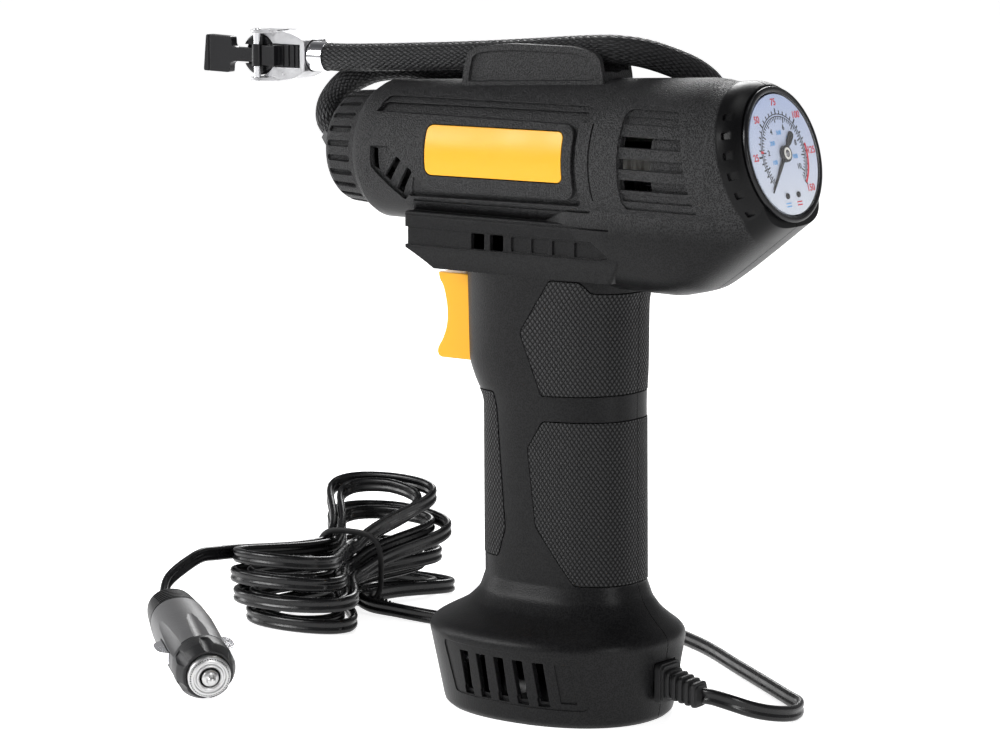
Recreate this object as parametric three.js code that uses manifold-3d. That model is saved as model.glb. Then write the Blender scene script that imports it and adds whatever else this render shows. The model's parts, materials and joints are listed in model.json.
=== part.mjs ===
// Portable 12 V tire inflator: a pistol-grip housing in two halves, a piston pump driven by a small
// motor, a tilted pressure gauge, a braided hose with a thumb-lock chuck and a flat power cord with a plug.
// Millimetres. +X runs along the barrel towards the gauge, +Z is up, the origin is the middle of the base.
import * as THREE from 'three';
import { mergeVertices } from 'three/addons/utils/BufferGeometryUtils.js';
import Module from 'manifold-3d';

const wasm = await Module();
wasm.setup();

// ---------------------------------------------------------------- driving dimensions
const gap = 0.3;                    // clearance between neighbouring pieces
const runningGap = 0.3;             // clearance round a piece that slides or turns
const wall = 2.4;                   // housing wall

// barrel
const noseX = -69;                  // flat front face of the barrel
const noseZ = 184;
const noseR = 22;
const frontEdge = 2.6;              // length of the bevel behind the front face
const frontR = 23.2;
const rearX = 60;
const axisRise = 3;                 // the barrel's axis climbs this much from nose to rear
const rearZ = noseZ + axisRise;
const rearR = 26.7;

// gauge
const gaugeX = 86.3;
const gaugeZ = rearZ + 3.8;
const gaugeTilt = 15 * Math.PI / 180;
const bezelR = 22;
const dialR = 19.5;
const dialDepth = 0.5;              // printed face below the front of the bezel
const lensRise = 2.4;               // how far the middle of the domed lens rises
const bezelLip = 1.2;               // how far the bezel stands out of the housing
const caseR = 21.3;
const caseDepth = 15;
const bandDepth = 9.2;              // smooth band of the housing round the gauge
const bandR = 25.6;
const mouthR = 23;
const needleZero = 225;             // degrees from the dial's right, anticlockwise
const needleSweep = 270;

// handle and base
const gripHalfWidth = 18;
const gripFrontX = -25.4;
const gripRearX = 31;
const triggerFrontX = -31.5;        // front of the thicker handle round the trigger
const baseHalfWidth = 35.2;
const baseFrontX = -44.6;
const baseRearX = 43.8;
const shoulderZ = 27;
const baseDraft = 3.6;              // how far the base wall leans in down to the floor
const frontDraft = 5;               // the same at the front
const gripTopZ = 45;                // where the handle meets the flare of the base

// neck block under the barrel
const neckHalfWidth = 19.5;
const neckFrontX = -49.3;
const neckTopZ = noseZ - 18.5;
const neckLedgeZ = neckTopZ - 12.1;
const neckBottomZ = neckLedgeZ - 6.6;
const gripSplitZ = gripTopZ + 0.58 * (neckBottomZ - gripTopZ);   // between the upper and lower grips

// hose cradle on top of the barrel
const hoseR = 4.8;
const cradleWall = 3.5;
const cradleFrontX = -33;
const cradleRearX = 23;
const cradleTopZ = noseZ + 38;

// trigger
const triggerHalfWidth = 7.2;
const triggerTopZ = neckBottomZ - 2.6;
const triggerBottomZ = triggerTopZ - 29;
const triggerTravel = 5;

// drive
const motorX = 46;
const motorR = 13.85;
const motorLength = 32.8;
const hoodDrop = 3.6;               // lowest point of the hood below the neck
const motorBottomZ = neckBottomZ - hoodDrop + wall + 1.3;
const gearModule = 1;
const pinionTeeth = 9;
const gearTeeth = 36;
const gearThickness = 4;
const backlash = 0.16;
const crankR = 6;
const rodLength = 42;
const boreR = 8.5;
const cylinderWall = 2.2;
const cylinderLength = 28;
const rodThickness = 3.2;

// cord and plug
const cordWidth = 5.4;
const cordThickness = 2.7;
const plugR = 10.4;
const plugTilt = 10.5 * Math.PI / 180;
const plugHeading = -37.5 * Math.PI / 180;
const plugFace = new THREE.Vector3(-93.5, -70, 9.6);
const plugLength = 64;

// hank of spare cord
const hankTurns = 8;
const hankLayers = 4;
const hankSteps = 20;
const hankCentre = new THREE.Vector3(-152, 81, 0);
const hankHalfLength = 44;
const hankAngle = -6 * Math.PI / 180;

// ---------------------------------------------------------------- helpers
const X = new THREE.Vector3(1, 0, 0);
const Y = new THREE.Vector3(0, 1, 0);
const Z = new THREE.Vector3(0, 0, 1);
const vec = (x, y, z) => new THREE.Vector3(x, y, z);

function solid(geometry) {
  const bare = geometry.clone();
  bare.deleteAttribute('normal');
  bare.deleteAttribute('uv');
  const merged = mergeVertices(bare, 1e-5);
  const vertProperties = new Float32Array(merged.attributes.position.array);
  const triVerts = new Uint32Array(merged.index.array);
  let body = new wasm.Manifold(new wasm.Mesh({ numProp: 3, vertProperties, triVerts }));
  if (body.volume() < 0) {
    for (let i = 0; i < triVerts.length; i += 3) {
      [triVerts[i], triVerts[i + 1]] = [triVerts[i + 1], triVerts[i]];
    }
    body = new wasm.Manifold(new wasm.Mesh({ numProp: 3, vertProperties, triVerts }));
  }
  return body;
}

function geometryOf(body) {
  const mesh = body.getMesh();
  const geometry = new THREE.BufferGeometry();
  geometry.setAttribute('position', new THREE.BufferAttribute(new Float32Array(mesh.vertProperties), 3));
  geometry.setIndex(new THREE.BufferAttribute(new Uint32Array(mesh.triVerts), 1));
  return geometry;
}

const join = (...bodies) => bodies.reduce((a, b) => a.add(b));
const cut = (body, ...tools) => tools.reduce((a, b) => a.subtract(b), body);

function box(x0, x1, y0, y1, z0, z1) {
  const geometry = new THREE.BoxGeometry(x1 - x0, y1 - y0, z1 - z0);
  geometry.translate((x0 + x1) / 2, (y0 + y1) / 2, (z0 + z1) / 2);
  return solid(geometry);
}

// A cylinder or cone from one point to another.
function rod(from, to, radius, sides = 24, endRadius = radius) {
  const length = from.distanceTo(to);
  const geometry = new THREE.CylinderGeometry(endRadius, radius, length, sides);
  const turn = new THREE.Quaternion().setFromUnitVectors(Y, to.clone().sub(from).normalize());
  geometry.applyQuaternion(turn);
  geometry.translate((from.x + to.x) / 2, (from.y + to.y) / 2, (from.z + to.z) / 2);
  return solid(geometry);
}

// A profile of [radius, height] points turned about an axis that starts at a point.
function revolve(profile, origin, axis, sides = 32) {
  const points = profile.map(([r, h]) => new THREE.Vector2(r, h));
  const geometry = new THREE.LatheGeometry(points, sides);
  geometry.applyQuaternion(new THREE.Quaternion().setFromUnitVectors(Y, axis.clone().normalize()));
  geometry.translate(origin.x, origin.y, origin.z);
  return solid(geometry);
}

function shapeOf(points) {
  return new THREE.Shape(points.map(([a, b]) => new THREE.Vector2(a, b)));
}

// Outlines drawn in one plane and extruded square to it.
function prismXZ(points, y0, y1) {
  const geometry = new THREE.ExtrudeGeometry(shapeOf(points), { depth: y1 - y0, bevelEnabled: false });
  geometry.rotateX(Math.PI / 2);
  geometry.translate(0, y1, 0);
  return solid(geometry);
}

function prismXY(points, z0, z1) {
  const geometry = new THREE.ExtrudeGeometry(shapeOf(points), { depth: z1 - z0, bevelEnabled: false });
  geometry.translate(0, 0, z0);
  return solid(geometry);
}

// Skin over closed rings of equal count, with a fan over each end.
function loft(rings) {
  const count = rings[0].length;
  const middle = (ring) => ring.reduce((sum, p) => sum.clone().add(p), vec(0, 0, 0)).divideScalar(count);
  const points = [...rings.flat(), middle(rings[0]), middle(rings[rings.length - 1])];
  const index = [];
  for (let i = 0; i + 1 < rings.length; i += 1) {
    for (let j = 0; j < count; j += 1) {
      const a = i * count + j;
      const b = i * count + (j + 1) % count;
      index.push(a, b, a + count, b, b + count, a + count);
    }
  }
  const last = (rings.length - 1) * count;
  for (let j = 0; j < count; j += 1) {
    const k = (j + 1) % count;
    index.push(points.length - 2, k, j);
    index.push(points.length - 1, last + j, last + k);
  }
  const geometry = new THREE.BufferGeometry().setFromPoints(points);
  geometry.setIndex(index);
  return solid(geometry);
}

// Rounded-box section: exponent 2 is an ellipse, more is squarer.
function superRing(halfA, halfB, exponent, count, place) {
  const ring = [];
  for (let i = 0; i < count; i += 1) {
    const angle = 2 * Math.PI * (i + 0.5) / count;
    const c = Math.cos(angle);
    const s = Math.sin(angle);
    const a = halfA * Math.sign(c) * Math.abs(c) ** (2 / exponent);
    const b = halfB * Math.sign(s) * Math.abs(s) ** (2 / exponent);
    ring.push(place(a, b));
  }
  return ring;
}

// A round tube of 8 sides along hand-placed points.
function tubeAlong(points, radius, steps, sides = 8) {
  const section = new THREE.Shape(Array.from({ length: sides }, (_, i) => {
    const angle = 2 * Math.PI * (i + 0.5) / sides;
    return new THREE.Vector2(radius * Math.cos(angle), radius * Math.sin(angle));
  }));
  const path = new THREE.CatmullRomCurve3(points, false, 'centripetal');
  const geometry = new THREE.ExtrudeGeometry(section, { steps, extrudePath: path, bevelEnabled: false });
  return solid(geometry);
}

const root = new THREE.Group();

function material(color, roughness, metalness) {
  return new THREE.MeshStandardMaterial({ color, roughness, metalness });
}

const blackPlastic = material('#1b1b1d', 0.55, 0);
const rubber = material('#232325', 0.85, 0);
const yellowPlastic = material('#ffd23a', 0.4, 0);
const chrome = material('#d8d9dc', 0.18, 1);
const steel = material('#9a9ca0', 0.35, 1);
const brass = material('#b9974a', 0.35, 1);
const aluminium = material('#b4b6ba', 0.4, 1);
const whitePlastic = material('#e8e6e0', 0.5, 0);
const greyPlastic = material('#4a4b4e', 0.55, 0);
const dialPaint = material('#e8eef8', 0.6, 0);
const clearLens = material('#f4f8fb', 0.05, 0);
const braid = material('#161617', 0.8, 0);
const cordPvc = material('#141415', 0.35, 0);

function add(name, body, finish, parent = root) {
  const mesh = new THREE.Mesh(geometryOf(body.simplify(0.02)), finish);
  mesh.name = name;
  parent.add(mesh);
  return mesh;
}

// ---------------------------------------------------------------- housing
const gaugeAxis = vec(Math.cos(gaugeTilt), 0, Math.sin(gaugeTilt));
const gaugeUp = vec(-Math.sin(gaugeTilt), 0, Math.cos(gaugeTilt));
const gaugeCentre = vec(gaugeX, 0, gaugeZ);

// Height of the barrel's axis and its radius at a distance along it.
const along = (x) => (x - noseX) / (rearX - noseX);
const axisZ = (x) => noseZ + (rearZ - noseZ) * along(x);
const barrelR = (x) => frontR + (rearR - frontR) * along(x);

function gaugeRing(depth, radius, count) {
  const centre = gaugeCentre.clone().addScaledVector(gaugeAxis, -depth);
  return superRing(radius, radius, 2, count, (a, b) => (
    centre.clone().addScaledVector(Y, a).addScaledVector(gaugeUp, b)));
}

function barrelBody(inset, count = 28) {
  const flatRing = (x, z, r) => superRing(r, r, 2, count, (a, b) => vec(x, a, z + b));
  const frontX = noseX + frontEdge;
  return loft([
    flatRing(noseX + inset, noseZ, noseR - inset),
    flatRing(frontX + inset * 0.5, axisZ(frontX), barrelR(frontX) - inset),
    flatRing(rearX, rearZ, rearR - inset),
    gaugeRing(bandDepth, bandR - inset, count),
    gaugeRing(bezelLip + gap + inset, mouthR - inset, count),
  ]);
}

// The hood under the rear of the barrel, as [x, half width, height of the underside above its lowest point].
const hoodStations = [
  [4, 15, 8.8], [14, 19.4, 3.2], [30, 20.6, 0.4], [52, 20.6, 0], [61, 20.3, 2],
  [70, 19.9, 8.4], [80, 18.8, 16.2], [91, 16.5, 24.8],
];

function hoodBody(inset, count = 16) {
  const topZ = rearZ + 5;
  return loft(hoodStations.map(([x, half, rise], i) => {
    const end = i === 0 ? inset : (i === hoodStations.length - 1 ? -inset : 0);
    const bottom = neckBottomZ - hoodDrop + rise + inset;
    return superRing(half - inset, (topZ - bottom) / 2, 3, count, (a, b) => (
      vec(x + end, a, (topZ + bottom) / 2 + b)));
  }));
}

// The neck draws in below its ledge to the width of the handle, and leans back at the front.
const neckBevel = 10.5;
const neckRearX = 40;

function neckBody(inset) {
  const ring = (front, rear, half, z) => [
    vec(front, -half, z), vec(rear, -half, z), vec(rear, half, z), vec(front, half, z)];
  const front = neckFrontX + inset;
  const half = neckHalfWidth - inset;
  const mid = (neckBottomZ + neckLedgeZ) / 2;
  const low = gripHalfWidth - inset;
  return loft([
    ring(front + neckBevel - inset * 0.4, neckRearX - 8, low, neckBottomZ + inset),
    ring(front + neckBevel / 2, neckRearX - 6, low + (half - low) * 0.3, mid + inset * 0.5),
    ring(front, neckRearX - 4, half, neckLedgeZ + inset * 0.4),
    ring(front, neckRearX, half, neckTopZ - inset),
  ]);
}

// Handle and base in one skin, as [z, front x, rear x, half width, squareness].
function stockStations() {
  const draft = baseDraft;
  return [
    [0, baseFrontX + frontDraft + 1.8, baseRearX - draft - 1.6, baseHalfWidth - draft - 1.6, 2.2],
    [1.4, baseFrontX + frontDraft, baseRearX - draft, baseHalfWidth - draft, 2.2],
    [shoulderZ, baseFrontX, baseRearX, baseHalfWidth, 2.3],
    [shoulderZ + 2.4, baseFrontX + 1.6, baseRearX - 1.2, baseHalfWidth - 1.8, 2.3],
    [shoulderZ + 4.4, baseFrontX + 5.2, baseRearX - 3.4, baseHalfWidth - 5.2, 2.3],
    [shoulderZ + 8, baseFrontX + 12.4, baseRearX - 7, baseHalfWidth - 11, 2.35],
    [shoulderZ + 12.5, baseFrontX + 17.2, baseRearX - 10.2, baseHalfWidth - 15.3, 2.5],
    [gripTopZ, gripFrontX, gripRearX + 0.6, gripHalfWidth, 2.6],
    [gripSplitZ, gripFrontX - 0.4, gripRearX, gripHalfWidth, 2.6],
    [triggerBottomZ - 4.5, triggerFrontX + 2, gripRearX, gripHalfWidth, 2.7],
    [triggerBottomZ + 1, triggerFrontX, gripRearX + 0.2, gripHalfWidth, 2.8],
    [triggerTopZ - 6.2, triggerFrontX - 0.6, gripRearX + 0.4, gripHalfWidth, 2.8],
    [neckBottomZ, triggerFrontX - 1, gripRearX + 2, gripHalfWidth, 2.8],
    [neckTopZ - 4, triggerFrontX - 1, gripRearX + 2, gripHalfWidth, 2.8],
  ];
}

function stockBody(inset, bottomInset = inset, count = 24, from = 0) {
  const stations = stockStations().slice(from).filter((s, i, list) => (
    count > 12 || i % 3 === 0 || i === list.length - 1));
  return loft(stations.map(([z, front, rear, half, square], i) => {
    const level = i === 0 ? z + bottomInset : z;
    const middle = (front + rear) / 2;
    return superRing((rear - front) / 2 - inset, half - inset, square, count, (a, b) => (
      vec(middle + a, b, level)));
  }));
}

const beyond = 60;                  // reach of a cutting tool past what it cuts

function gaugePlaneCut() {
  const tool = new THREE.BoxGeometry(beyond, 2 * beyond, 2 * beyond);
  tool.translate(beyond / 2 - bezelLip - gap, 0, 0);
  tool.rotateY(-gaugeTilt);
  tool.translate(gaugeX, 0, gaugeZ);
  return solid(tool);
}

function gaugeBore() {
  const from = gaugeCentre.clone().addScaledVector(gaugeAxis, -caseDepth - 2 * gap);
  return rod(from, gaugeCentre.clone().addScaledVector(gaugeAxis, beyond), caseR + gap + 0.1, 36);
}

const cradleFootZ = noseZ + 16;      // inside the barrel

function cradleBody() {
  const half = hoseR + 0.5 + cradleWall;
  const outline = [
    [cradleFrontX, cradleFootZ], [cradleFrontX, cradleTopZ - 11.5], [cradleFrontX + 2.2, cradleTopZ - 3.4],
    [cradleFrontX + 6, cradleTopZ - 1.4], [cradleFrontX + 18, cradleTopZ], [cradleRearX - 11, cradleTopZ],
    [cradleRearX - 3.2, cradleTopZ - 1.8], [cradleRearX - 1.4, cradleTopZ - 3.6],
    [cradleRearX, cradleTopZ - 10], [cradleRearX, cradleFootZ],
  ];
  return prismXZ(outline, -half, half);
}

function cradleTrough() {
  const low = 2.3;                  // floor above the barrel
  const front = axisZ(cradleFrontX) + barrelR(cradleFrontX) + low + hoseR;
  const rear = axisZ(cradleRearX) + barrelR(cradleRearX) + low + hoseR;
  const slope = (rear - front) / (cradleRearX - cradleFrontX);
  const at = (x) => front + slope * (x - cradleFrontX);
  const x0 = cradleFrontX - 1;
  const x1 = cradleRearX + 1;
  const above = cradleTopZ + 20;
  const open = prismXZ([[x0, at(x0)], [x1, at(x1)], [x1, above], [x0, above]], -hoseR - 0.5, hoseR + 0.5);
  const mouth = hoseR + 2.6;
  const flare = prismXY([[12, -hoseR], [x1, -mouth], [x1, mouth], [12, hoseR]], rear - hoseR, above);
  return join(open, flare, rod(vec(x0, 0, at(x0)), vec(x1, 0, at(x1)), hoseR + 0.5, 16));
}

// Cuts on both flanks of the barrel, to a depth below its surface.
function flankCut(points, depth) {
  const outline = prismXZ(points, -beyond, beyond);
  return cut(outline, barrelBody(depth));
}

function rounded(x0, x1, z0, z1, r) {
  const points = [];
  const corners = [[x1 - r, z1 - r, 0], [x0 + r, z1 - r, 90], [x0 + r, z0 + r, 180], [x1 - r, z0 + r, 270]];
  corners.forEach(([x, z, start]) => [0, 45, 90].forEach((step) => {
    const angle = (start + step) * Math.PI / 180;
    points.push([x + r * Math.cos(angle), z + r * Math.sin(angle)]);
  }));
  return points;
}

// Yellow panel and the grooves that frame it.
const panelX0 = -37.6;
const panelX1 = 17.6;
const panelZ0 = noseZ - 5;
const panelZ1 = noseZ + 11.4;
const panelDepth = 1.4;
const grooveDepth = 0.9;

function frameGrooves() {
  const top = noseZ + 19.2;
  const low = noseZ - 13.8;
  return [
    flankCut([[-57, top - 0.8], [27, top - 0.8], [26.4, top + 0.8], [-54, top + 0.8]], grooveDepth),
    flankCut([[-50, low - 0.7], [26.4, low - 0.7], [26.4, low + 0.7], [-50, low + 0.7]], grooveDepth),
    flankCut([[21.8, panelZ0 - 3], [23.6, panelZ0 - 1.4], [23.6, panelZ1 + 1.6], [21.8, panelZ1 + 3.2]],
      grooveDepth),
  ];
}

function noseVents() {
  const slant = 5;
  const low = noseZ - 10;
  const high = noseZ - 3;
  return [-57, -51.5].map((x) => prismXZ(
    [[x, low], [x + 2.6, low], [x + 2.6 + slant, high], [x + slant, high]], -beyond, beyond));
}

// Louvre in the flank ahead of the gauge: recessed strips between ribs, three of them open at the front.
function louvreEdge(z) {
  return rearX + (noseZ + 20 - z) * 0.235;
}

function louvreCuts() {
  const x0 = 40;
  const pitch = 6.7;
  const strip = 3.6;
  const lowest = noseZ - 12.4;
  const cuts = [];
  for (let i = 0; i < 5; i += 1) {
    const z0 = lowest + 1.6 + i * pitch * 0.92;
    const z1 = z0 + strip;
    cuts.push(flankCut([[x0, z0], [louvreEdge(z0), z0], [louvreEdge(z1), z1], [x0, z1]], 1.1));
    if (i >= 1 && i <= 3) {
      cuts.push(prismXZ([[x0 + 1, z0], [x0 + 12.5, z0], [x0 + 12.5, z1], [x0 + 1, z1]], -beyond, beyond));
    }
  }
  return cuts;
}

// Row of windows in the neck's recess: two open, three closed and a pointed one.
function neckCuts() {
  const recessDepth = 1.1;
  const z0 = neckLedgeZ + 0.9;
  const z1 = neckTopZ - 5;
  const cuts = [];
  const recess = prismXZ([[neckFrontX - 1, z0], [32, z0], [27, z1], [neckFrontX - 1, z1]], -beyond, beyond);
  const half = neckHalfWidth - recessDepth;
  cuts.push(cut(recess, box(-2 * beyond, beyond, -half, half, neckBottomZ - beyond, neckTopZ + beyond)));
  [-22.5, -15].forEach((x) => {
    cuts.push(box(x, x + 5.2, -beyond, beyond, z0, z1 - 0.4));
  });
  return cuts;
}

// Leaning slots low on both sides of the base.
const baseSlots = 5;
function baseVents() {
  const cuts = [];
  for (let i = 0; i < baseSlots; i += 1) {
    const x = -17.5 + i * 7.4;
    const low = 9.2 - i * 0.1;
    const high = 22.6 - i * 0.1;
    cuts.push(prismXZ([[x + 1.2, low], [x + 4.6 + i * 0.1, low], [x + 3.8, high], [x, high]], -beyond, beyond));
  }
  return cuts;
}

// Outlines of the rubber grips, drawn on the side of the handle.
const gripUpperTop = neckBottomZ - 0.4;
const gripOutlines = {
  upper: [
    [-3.6, gripUpperTop - 18.1], [5.1, gripSplitZ + 3.6], [beyond, gripSplitZ + 6.5],
    [beyond, gripUpperTop - 3.6], [23, gripUpperTop - 3.6], [19.5, gripUpperTop], [8.1, gripUpperTop],
  ],
  lower: [
    [-0.4, gripSplitZ - 14], [2.9, gripTopZ + 18.9], [17.6, gripTopZ + 0.2], [beyond, gripTopZ + 1],
    [beyond, gripSplitZ - 2.5], [5.6, gripSplitZ - 4.4],
  ],
  front: [
    [-beyond, triggerBottomZ - 9.7], [-beyond, gripTopZ + 6], [-13, gripTopZ + 6.8], [-9.5, gripTopZ + 16.9],
    [-13.5, triggerBottomZ - 13.4], [-15, triggerBottomZ - 7.6],
  ],
};
const gripDepth = 1.1;
const gripProud = 0.2;

// The same outline drawn in by a margin along every edge.
function shrink(points, margin) {
  const count = points.length;
  const area = points.reduce((sum, [x, z], i) => {
    const [nx, nz] = points[(i + 1) % count];
    return sum + x * nz - nx * z;
  }, 0);
  const side = Math.sign(area);
  return points.map((p, i) => {
    const before = points[(i + count - 1) % count];
    const after = points[(i + 1) % count];
    const a = Math.atan2(p[1] - before[1], p[0] - before[0]);
    const b = Math.atan2(after[1] - p[1], after[0] - p[0]);
    const middle = Math.atan2(Math.sin(a) + Math.sin(b), Math.cos(a) + Math.cos(b)) + side * Math.PI / 2;
    const reach = margin / Math.cos(Math.atan2(Math.sin(b - a), Math.cos(b - a)) / 2);
    return [p[0] + reach * Math.cos(middle), p[1] + reach * Math.sin(middle)];
  });
}

const stockCore = stockBody(gripDepth, 0, 24, 7);
const stockSkin = stockBody(-gripProud, 0, 24, 7);
const stockReach = stockBody(-1, 0, 24, 7);

function gripPocket(name) {
  return prismXZ(gripOutlines[name], -beyond, beyond).intersect(stockReach).subtract(stockCore);
}

function gripPad(name, side) {
  const outline = shrink(gripOutlines[name], gap);
  const seam = gap / 2;
  const prism = side < 0 ? prismXZ(outline, -beyond, -seam) : prismXZ(outline, seam, beyond);
  return prism.intersect(stockSkin).subtract(stockBody(gripDepth - gap, 0, 24, 7));
}

// Screw posts: a screw enters from the right half and bites in the left one.
const screwR = 1.5;
const screwHeadR = 2.5;
const postR = 4.2;
const screwPlaces = [[-60, noseZ - 13.4], [66, noseZ - 20], [-5.5, gripSplitZ - 24], [-30, 14]];
const postHalf = 13;

function post(x, z) {
  return rod(vec(x, -beyond, z), vec(x, beyond, z), postR, 12);
}

const strainZ = 13.8;
const strainSlotHalf = 3.6;
const strainFace = baseRearX - 1.5;
const strainLength = 12;
const strainNeck = 7;
const strainDroop = 3;

function housing() {
  const outer = join(barrelBody(0), hoodBody(0), neckBody(0), stockBody(0), cradleBody());
  const throat = box(neckFrontX + 6, 30, -12, 12, neckTopZ - 8, neckTopZ + 4);
  const motorRoom = rod(vec(motorX, 0, motorBottomZ - 0.8), vec(motorX, 0, noseZ), motorR + 0.8, 18);
  const rooms = [barrelBody(wall, 16), hoodBody(wall, 10), neckBody(wall), stockBody(wall, wall, 12)];
  const hollow = join(...rooms, throat, motorRoom);
  let shell = cut(outer, hollow);
  const posts = screwPlaces.map(([x, z]) => post(x, z)).reduce((a, b) => a.add(b));
  shell = shell.add(posts.intersect(outer));
  shell = cut(shell, gaugePlaneCut(), gaugeBore(), cradleTrough(), ...frameGrooves(), ...noseVents(),
    ...louvreCuts(), ...neckCuts(), ...baseVents());
  shell = cut(shell, flankCut(rounded(panelX0, panelX1, panelZ0, panelZ1, 2), panelDepth));
  shell = cut(shell, gripPocket('upper'), gripPocket('lower'), gripPocket('front'));
  shell = cut(shell, triggerSlot(), outletBore(), strainSlot(), ...bandSlots());
  screwPlaces.forEach(([x, z]) => {
    shell = cut(shell, rod(vec(x, -postHalf, z), vec(x, beyond, z), screwR + gap, 8));
    shell = cut(shell, rod(vec(x, postHalf, z), vec(x, beyond, z), screwHeadR + gap, 12));
  });
  return shell;
}

function triggerSlot() {
  const half = triggerHalfWidth + runningGap;
  return box(-beyond, -18, -half, half, triggerBottomZ - runningGap, triggerTopZ + runningGap);
}

const outletR = 4.6;
function outletBore() {
  return rod(vec(noseX - 5, 0, noseZ), vec(noseX + 10, 0, noseZ), outletR + gap, 24);
}

function strainSlot() {
  const half = strainSlotHalf + gap;
  const seat = box(strainFace - gap, 60, -6 - gap, 6 + gap, strainZ - 6.6 - gap, strainZ + 6.6 + gap);
  return join(seat, box(25, 60, -half, half, strainZ - half, strainZ + half));
}

// Small rectangular marks round the smooth band.
function bandSlots() {
  const cuts = [];
  for (let side = -1; side <= 1; side += 2) {
    for (let i = 0; i < 6; i += 1) {
      const angle = (55 + i * 15) * Math.PI / 180;
      const tool = new THREE.BoxGeometry(3.6, 3, 2.4);
      tool.translate(-5.3, 0, 0);
      const out = vec(0, side * Math.sin(angle), 0).addScaledVector(gaugeUp, Math.cos(angle));
      const across = gaugeAxis.clone().cross(out);
      tool.translate(0, 24.8, 0);
      tool.applyMatrix4(new THREE.Matrix4().makeBasis(gaugeAxis, out, across));
      tool.translate(gaugeX, 0, gaugeZ);
      cuts.push(solid(tool));
    }
  }
  return cuts;
}

// The left half keeps a tongue of the floor, so that the middle of the base lies on one piece.
const wholeSpan = 400;              // more than the whole object
const tongueX = 12;
const tongueY = 6;

function buildHousing() {
  const whole = housing();
  const tongue = box(-tongueX, tongueX, -1, tongueY, -1, wall * 0.6);
  const tongueRoom = box(-tongueX - gap, tongueX + gap, -1, tongueY + gap, -1, wall * 0.6 + gap);
  const leftSide = box(-wholeSpan, wholeSpan, -wholeSpan, 0, -wholeSpan, wholeSpan);
  const rightSide = box(-wholeSpan, wholeSpan, 0, wholeSpan, -wholeSpan, wholeSpan);
  const left = whole.intersect(leftSide.add(tongue));
  const right = whole.intersect(rightSide).subtract(tongueRoom);
  add('housing_left', left, blackPlastic);
  add('housing_right', right, blackPlastic);
}

function buildScrews() {
  screwPlaces.forEach(([x, z], i) => {
    const shank = rod(vec(x, -postHalf + gap, z), vec(x, postHalf + 0.5, z), screwR, 8);
    const head = rod(vec(x, postHalf, z), vec(x, postHalf + 2, z), screwHeadR, 12);
    add(`housing_screw_${i + 1}`, join(shank, head), steel);
  });
}

function buildPanels() {
  const depth = panelDepth - gap;
  const outline = rounded(panelX0 + gap, panelX1 - gap, panelZ0 + gap, panelZ1 - gap, 1.8);
  const skin = cut(barrelBody(0), barrelBody(depth));
  add('side_panel_left', skin.intersect(prismXZ(outline, -beyond, 0)), yellowPlastic);
  add('side_panel_right', skin.intersect(prismXZ(outline, 0, beyond)), yellowPlastic);
}

function buildGrips() {
  ['upper', 'lower', 'front'].forEach((name) => {
    add(`grip_${name}_left`, gripPad(name, -1), rubber);
    add(`grip_${name}_right`, gripPad(name, 1), rubber);
  });
}

// ---------------------------------------------------------------- nose
const capFrontX = -85;
const capR = 20;
const capGrooves = 20;

function buildNose() {
  const length = noseX - capFrontX;
  const boreRadius = outletR + gap;
  const profile = [
    [boreRadius, length], [15.4, length], [17.9, length - 1.7], [18.9, length - 4],
    [capR, 0], [capR - 2.6, 0], [capR - 3.6, length - 2.4],
    [boreRadius, length - 2.4], [boreRadius, length],
  ];
  let cap = revolve(profile, vec(noseX, 0, noseZ), X.clone().negate(), 20);
  for (let i = 0; i < capGrooves; i += 1) {
    const angle = 2 * Math.PI * (i + 0.5) / capGrooves;
    const tool = new THREE.BoxGeometry(9.5, 1.7, 1.8);
    tool.translate(noseX - 8.2, 0, 19.2);
    tool.rotateX(angle);
    tool.translate(0, 0, noseZ);
    cap = cap.subtract(solid(tool));
  }
  add('nose_cap', cap, blackPlastic);

  const flangeX = noseX + wall;
  const elbow = vec(capFrontX - 4.2, 0, noseZ);
  const stub = rod(vec(flangeX + 9, 0, noseZ), elbow, outletR, 12);
  const flange = rod(vec(flangeX + gap, 0, noseZ), vec(flangeX + 2.5, 0, noseZ), 8, 10);
  const ball = new THREE.SphereGeometry(outletR, 8, 6);
  ball.translate(elbow.x, 0, elbow.z);
  const spout = rod(elbow, elbow.clone().addScaledVector(outletDirection, outletReach), outletR, 12);
  const passage = join(
    rod(vec(flangeX + 20, 0, noseZ), elbow, 2, 6),
    rod(elbow, elbow.clone().addScaledVector(outletDirection, 20), 2, 6));
  add('hose_outlet', cut(join(stub, flange, solid(ball), spout), passage), blackPlastic);
}

const outletDirection = vec(-Math.cos(0.96), 0, Math.sin(0.96));
const outletReach = 7;

// ---------------------------------------------------------------- gauge
function gaugeGroup() {
  const group = new THREE.Group();
  const basis = new THREE.Matrix4().makeBasis(Y, gaugeUp, gaugeAxis);
  group.quaternion.setFromRotationMatrix(basis);
  group.position.copy(gaugeCentre);
  root.add(group);
  return group;
}

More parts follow.
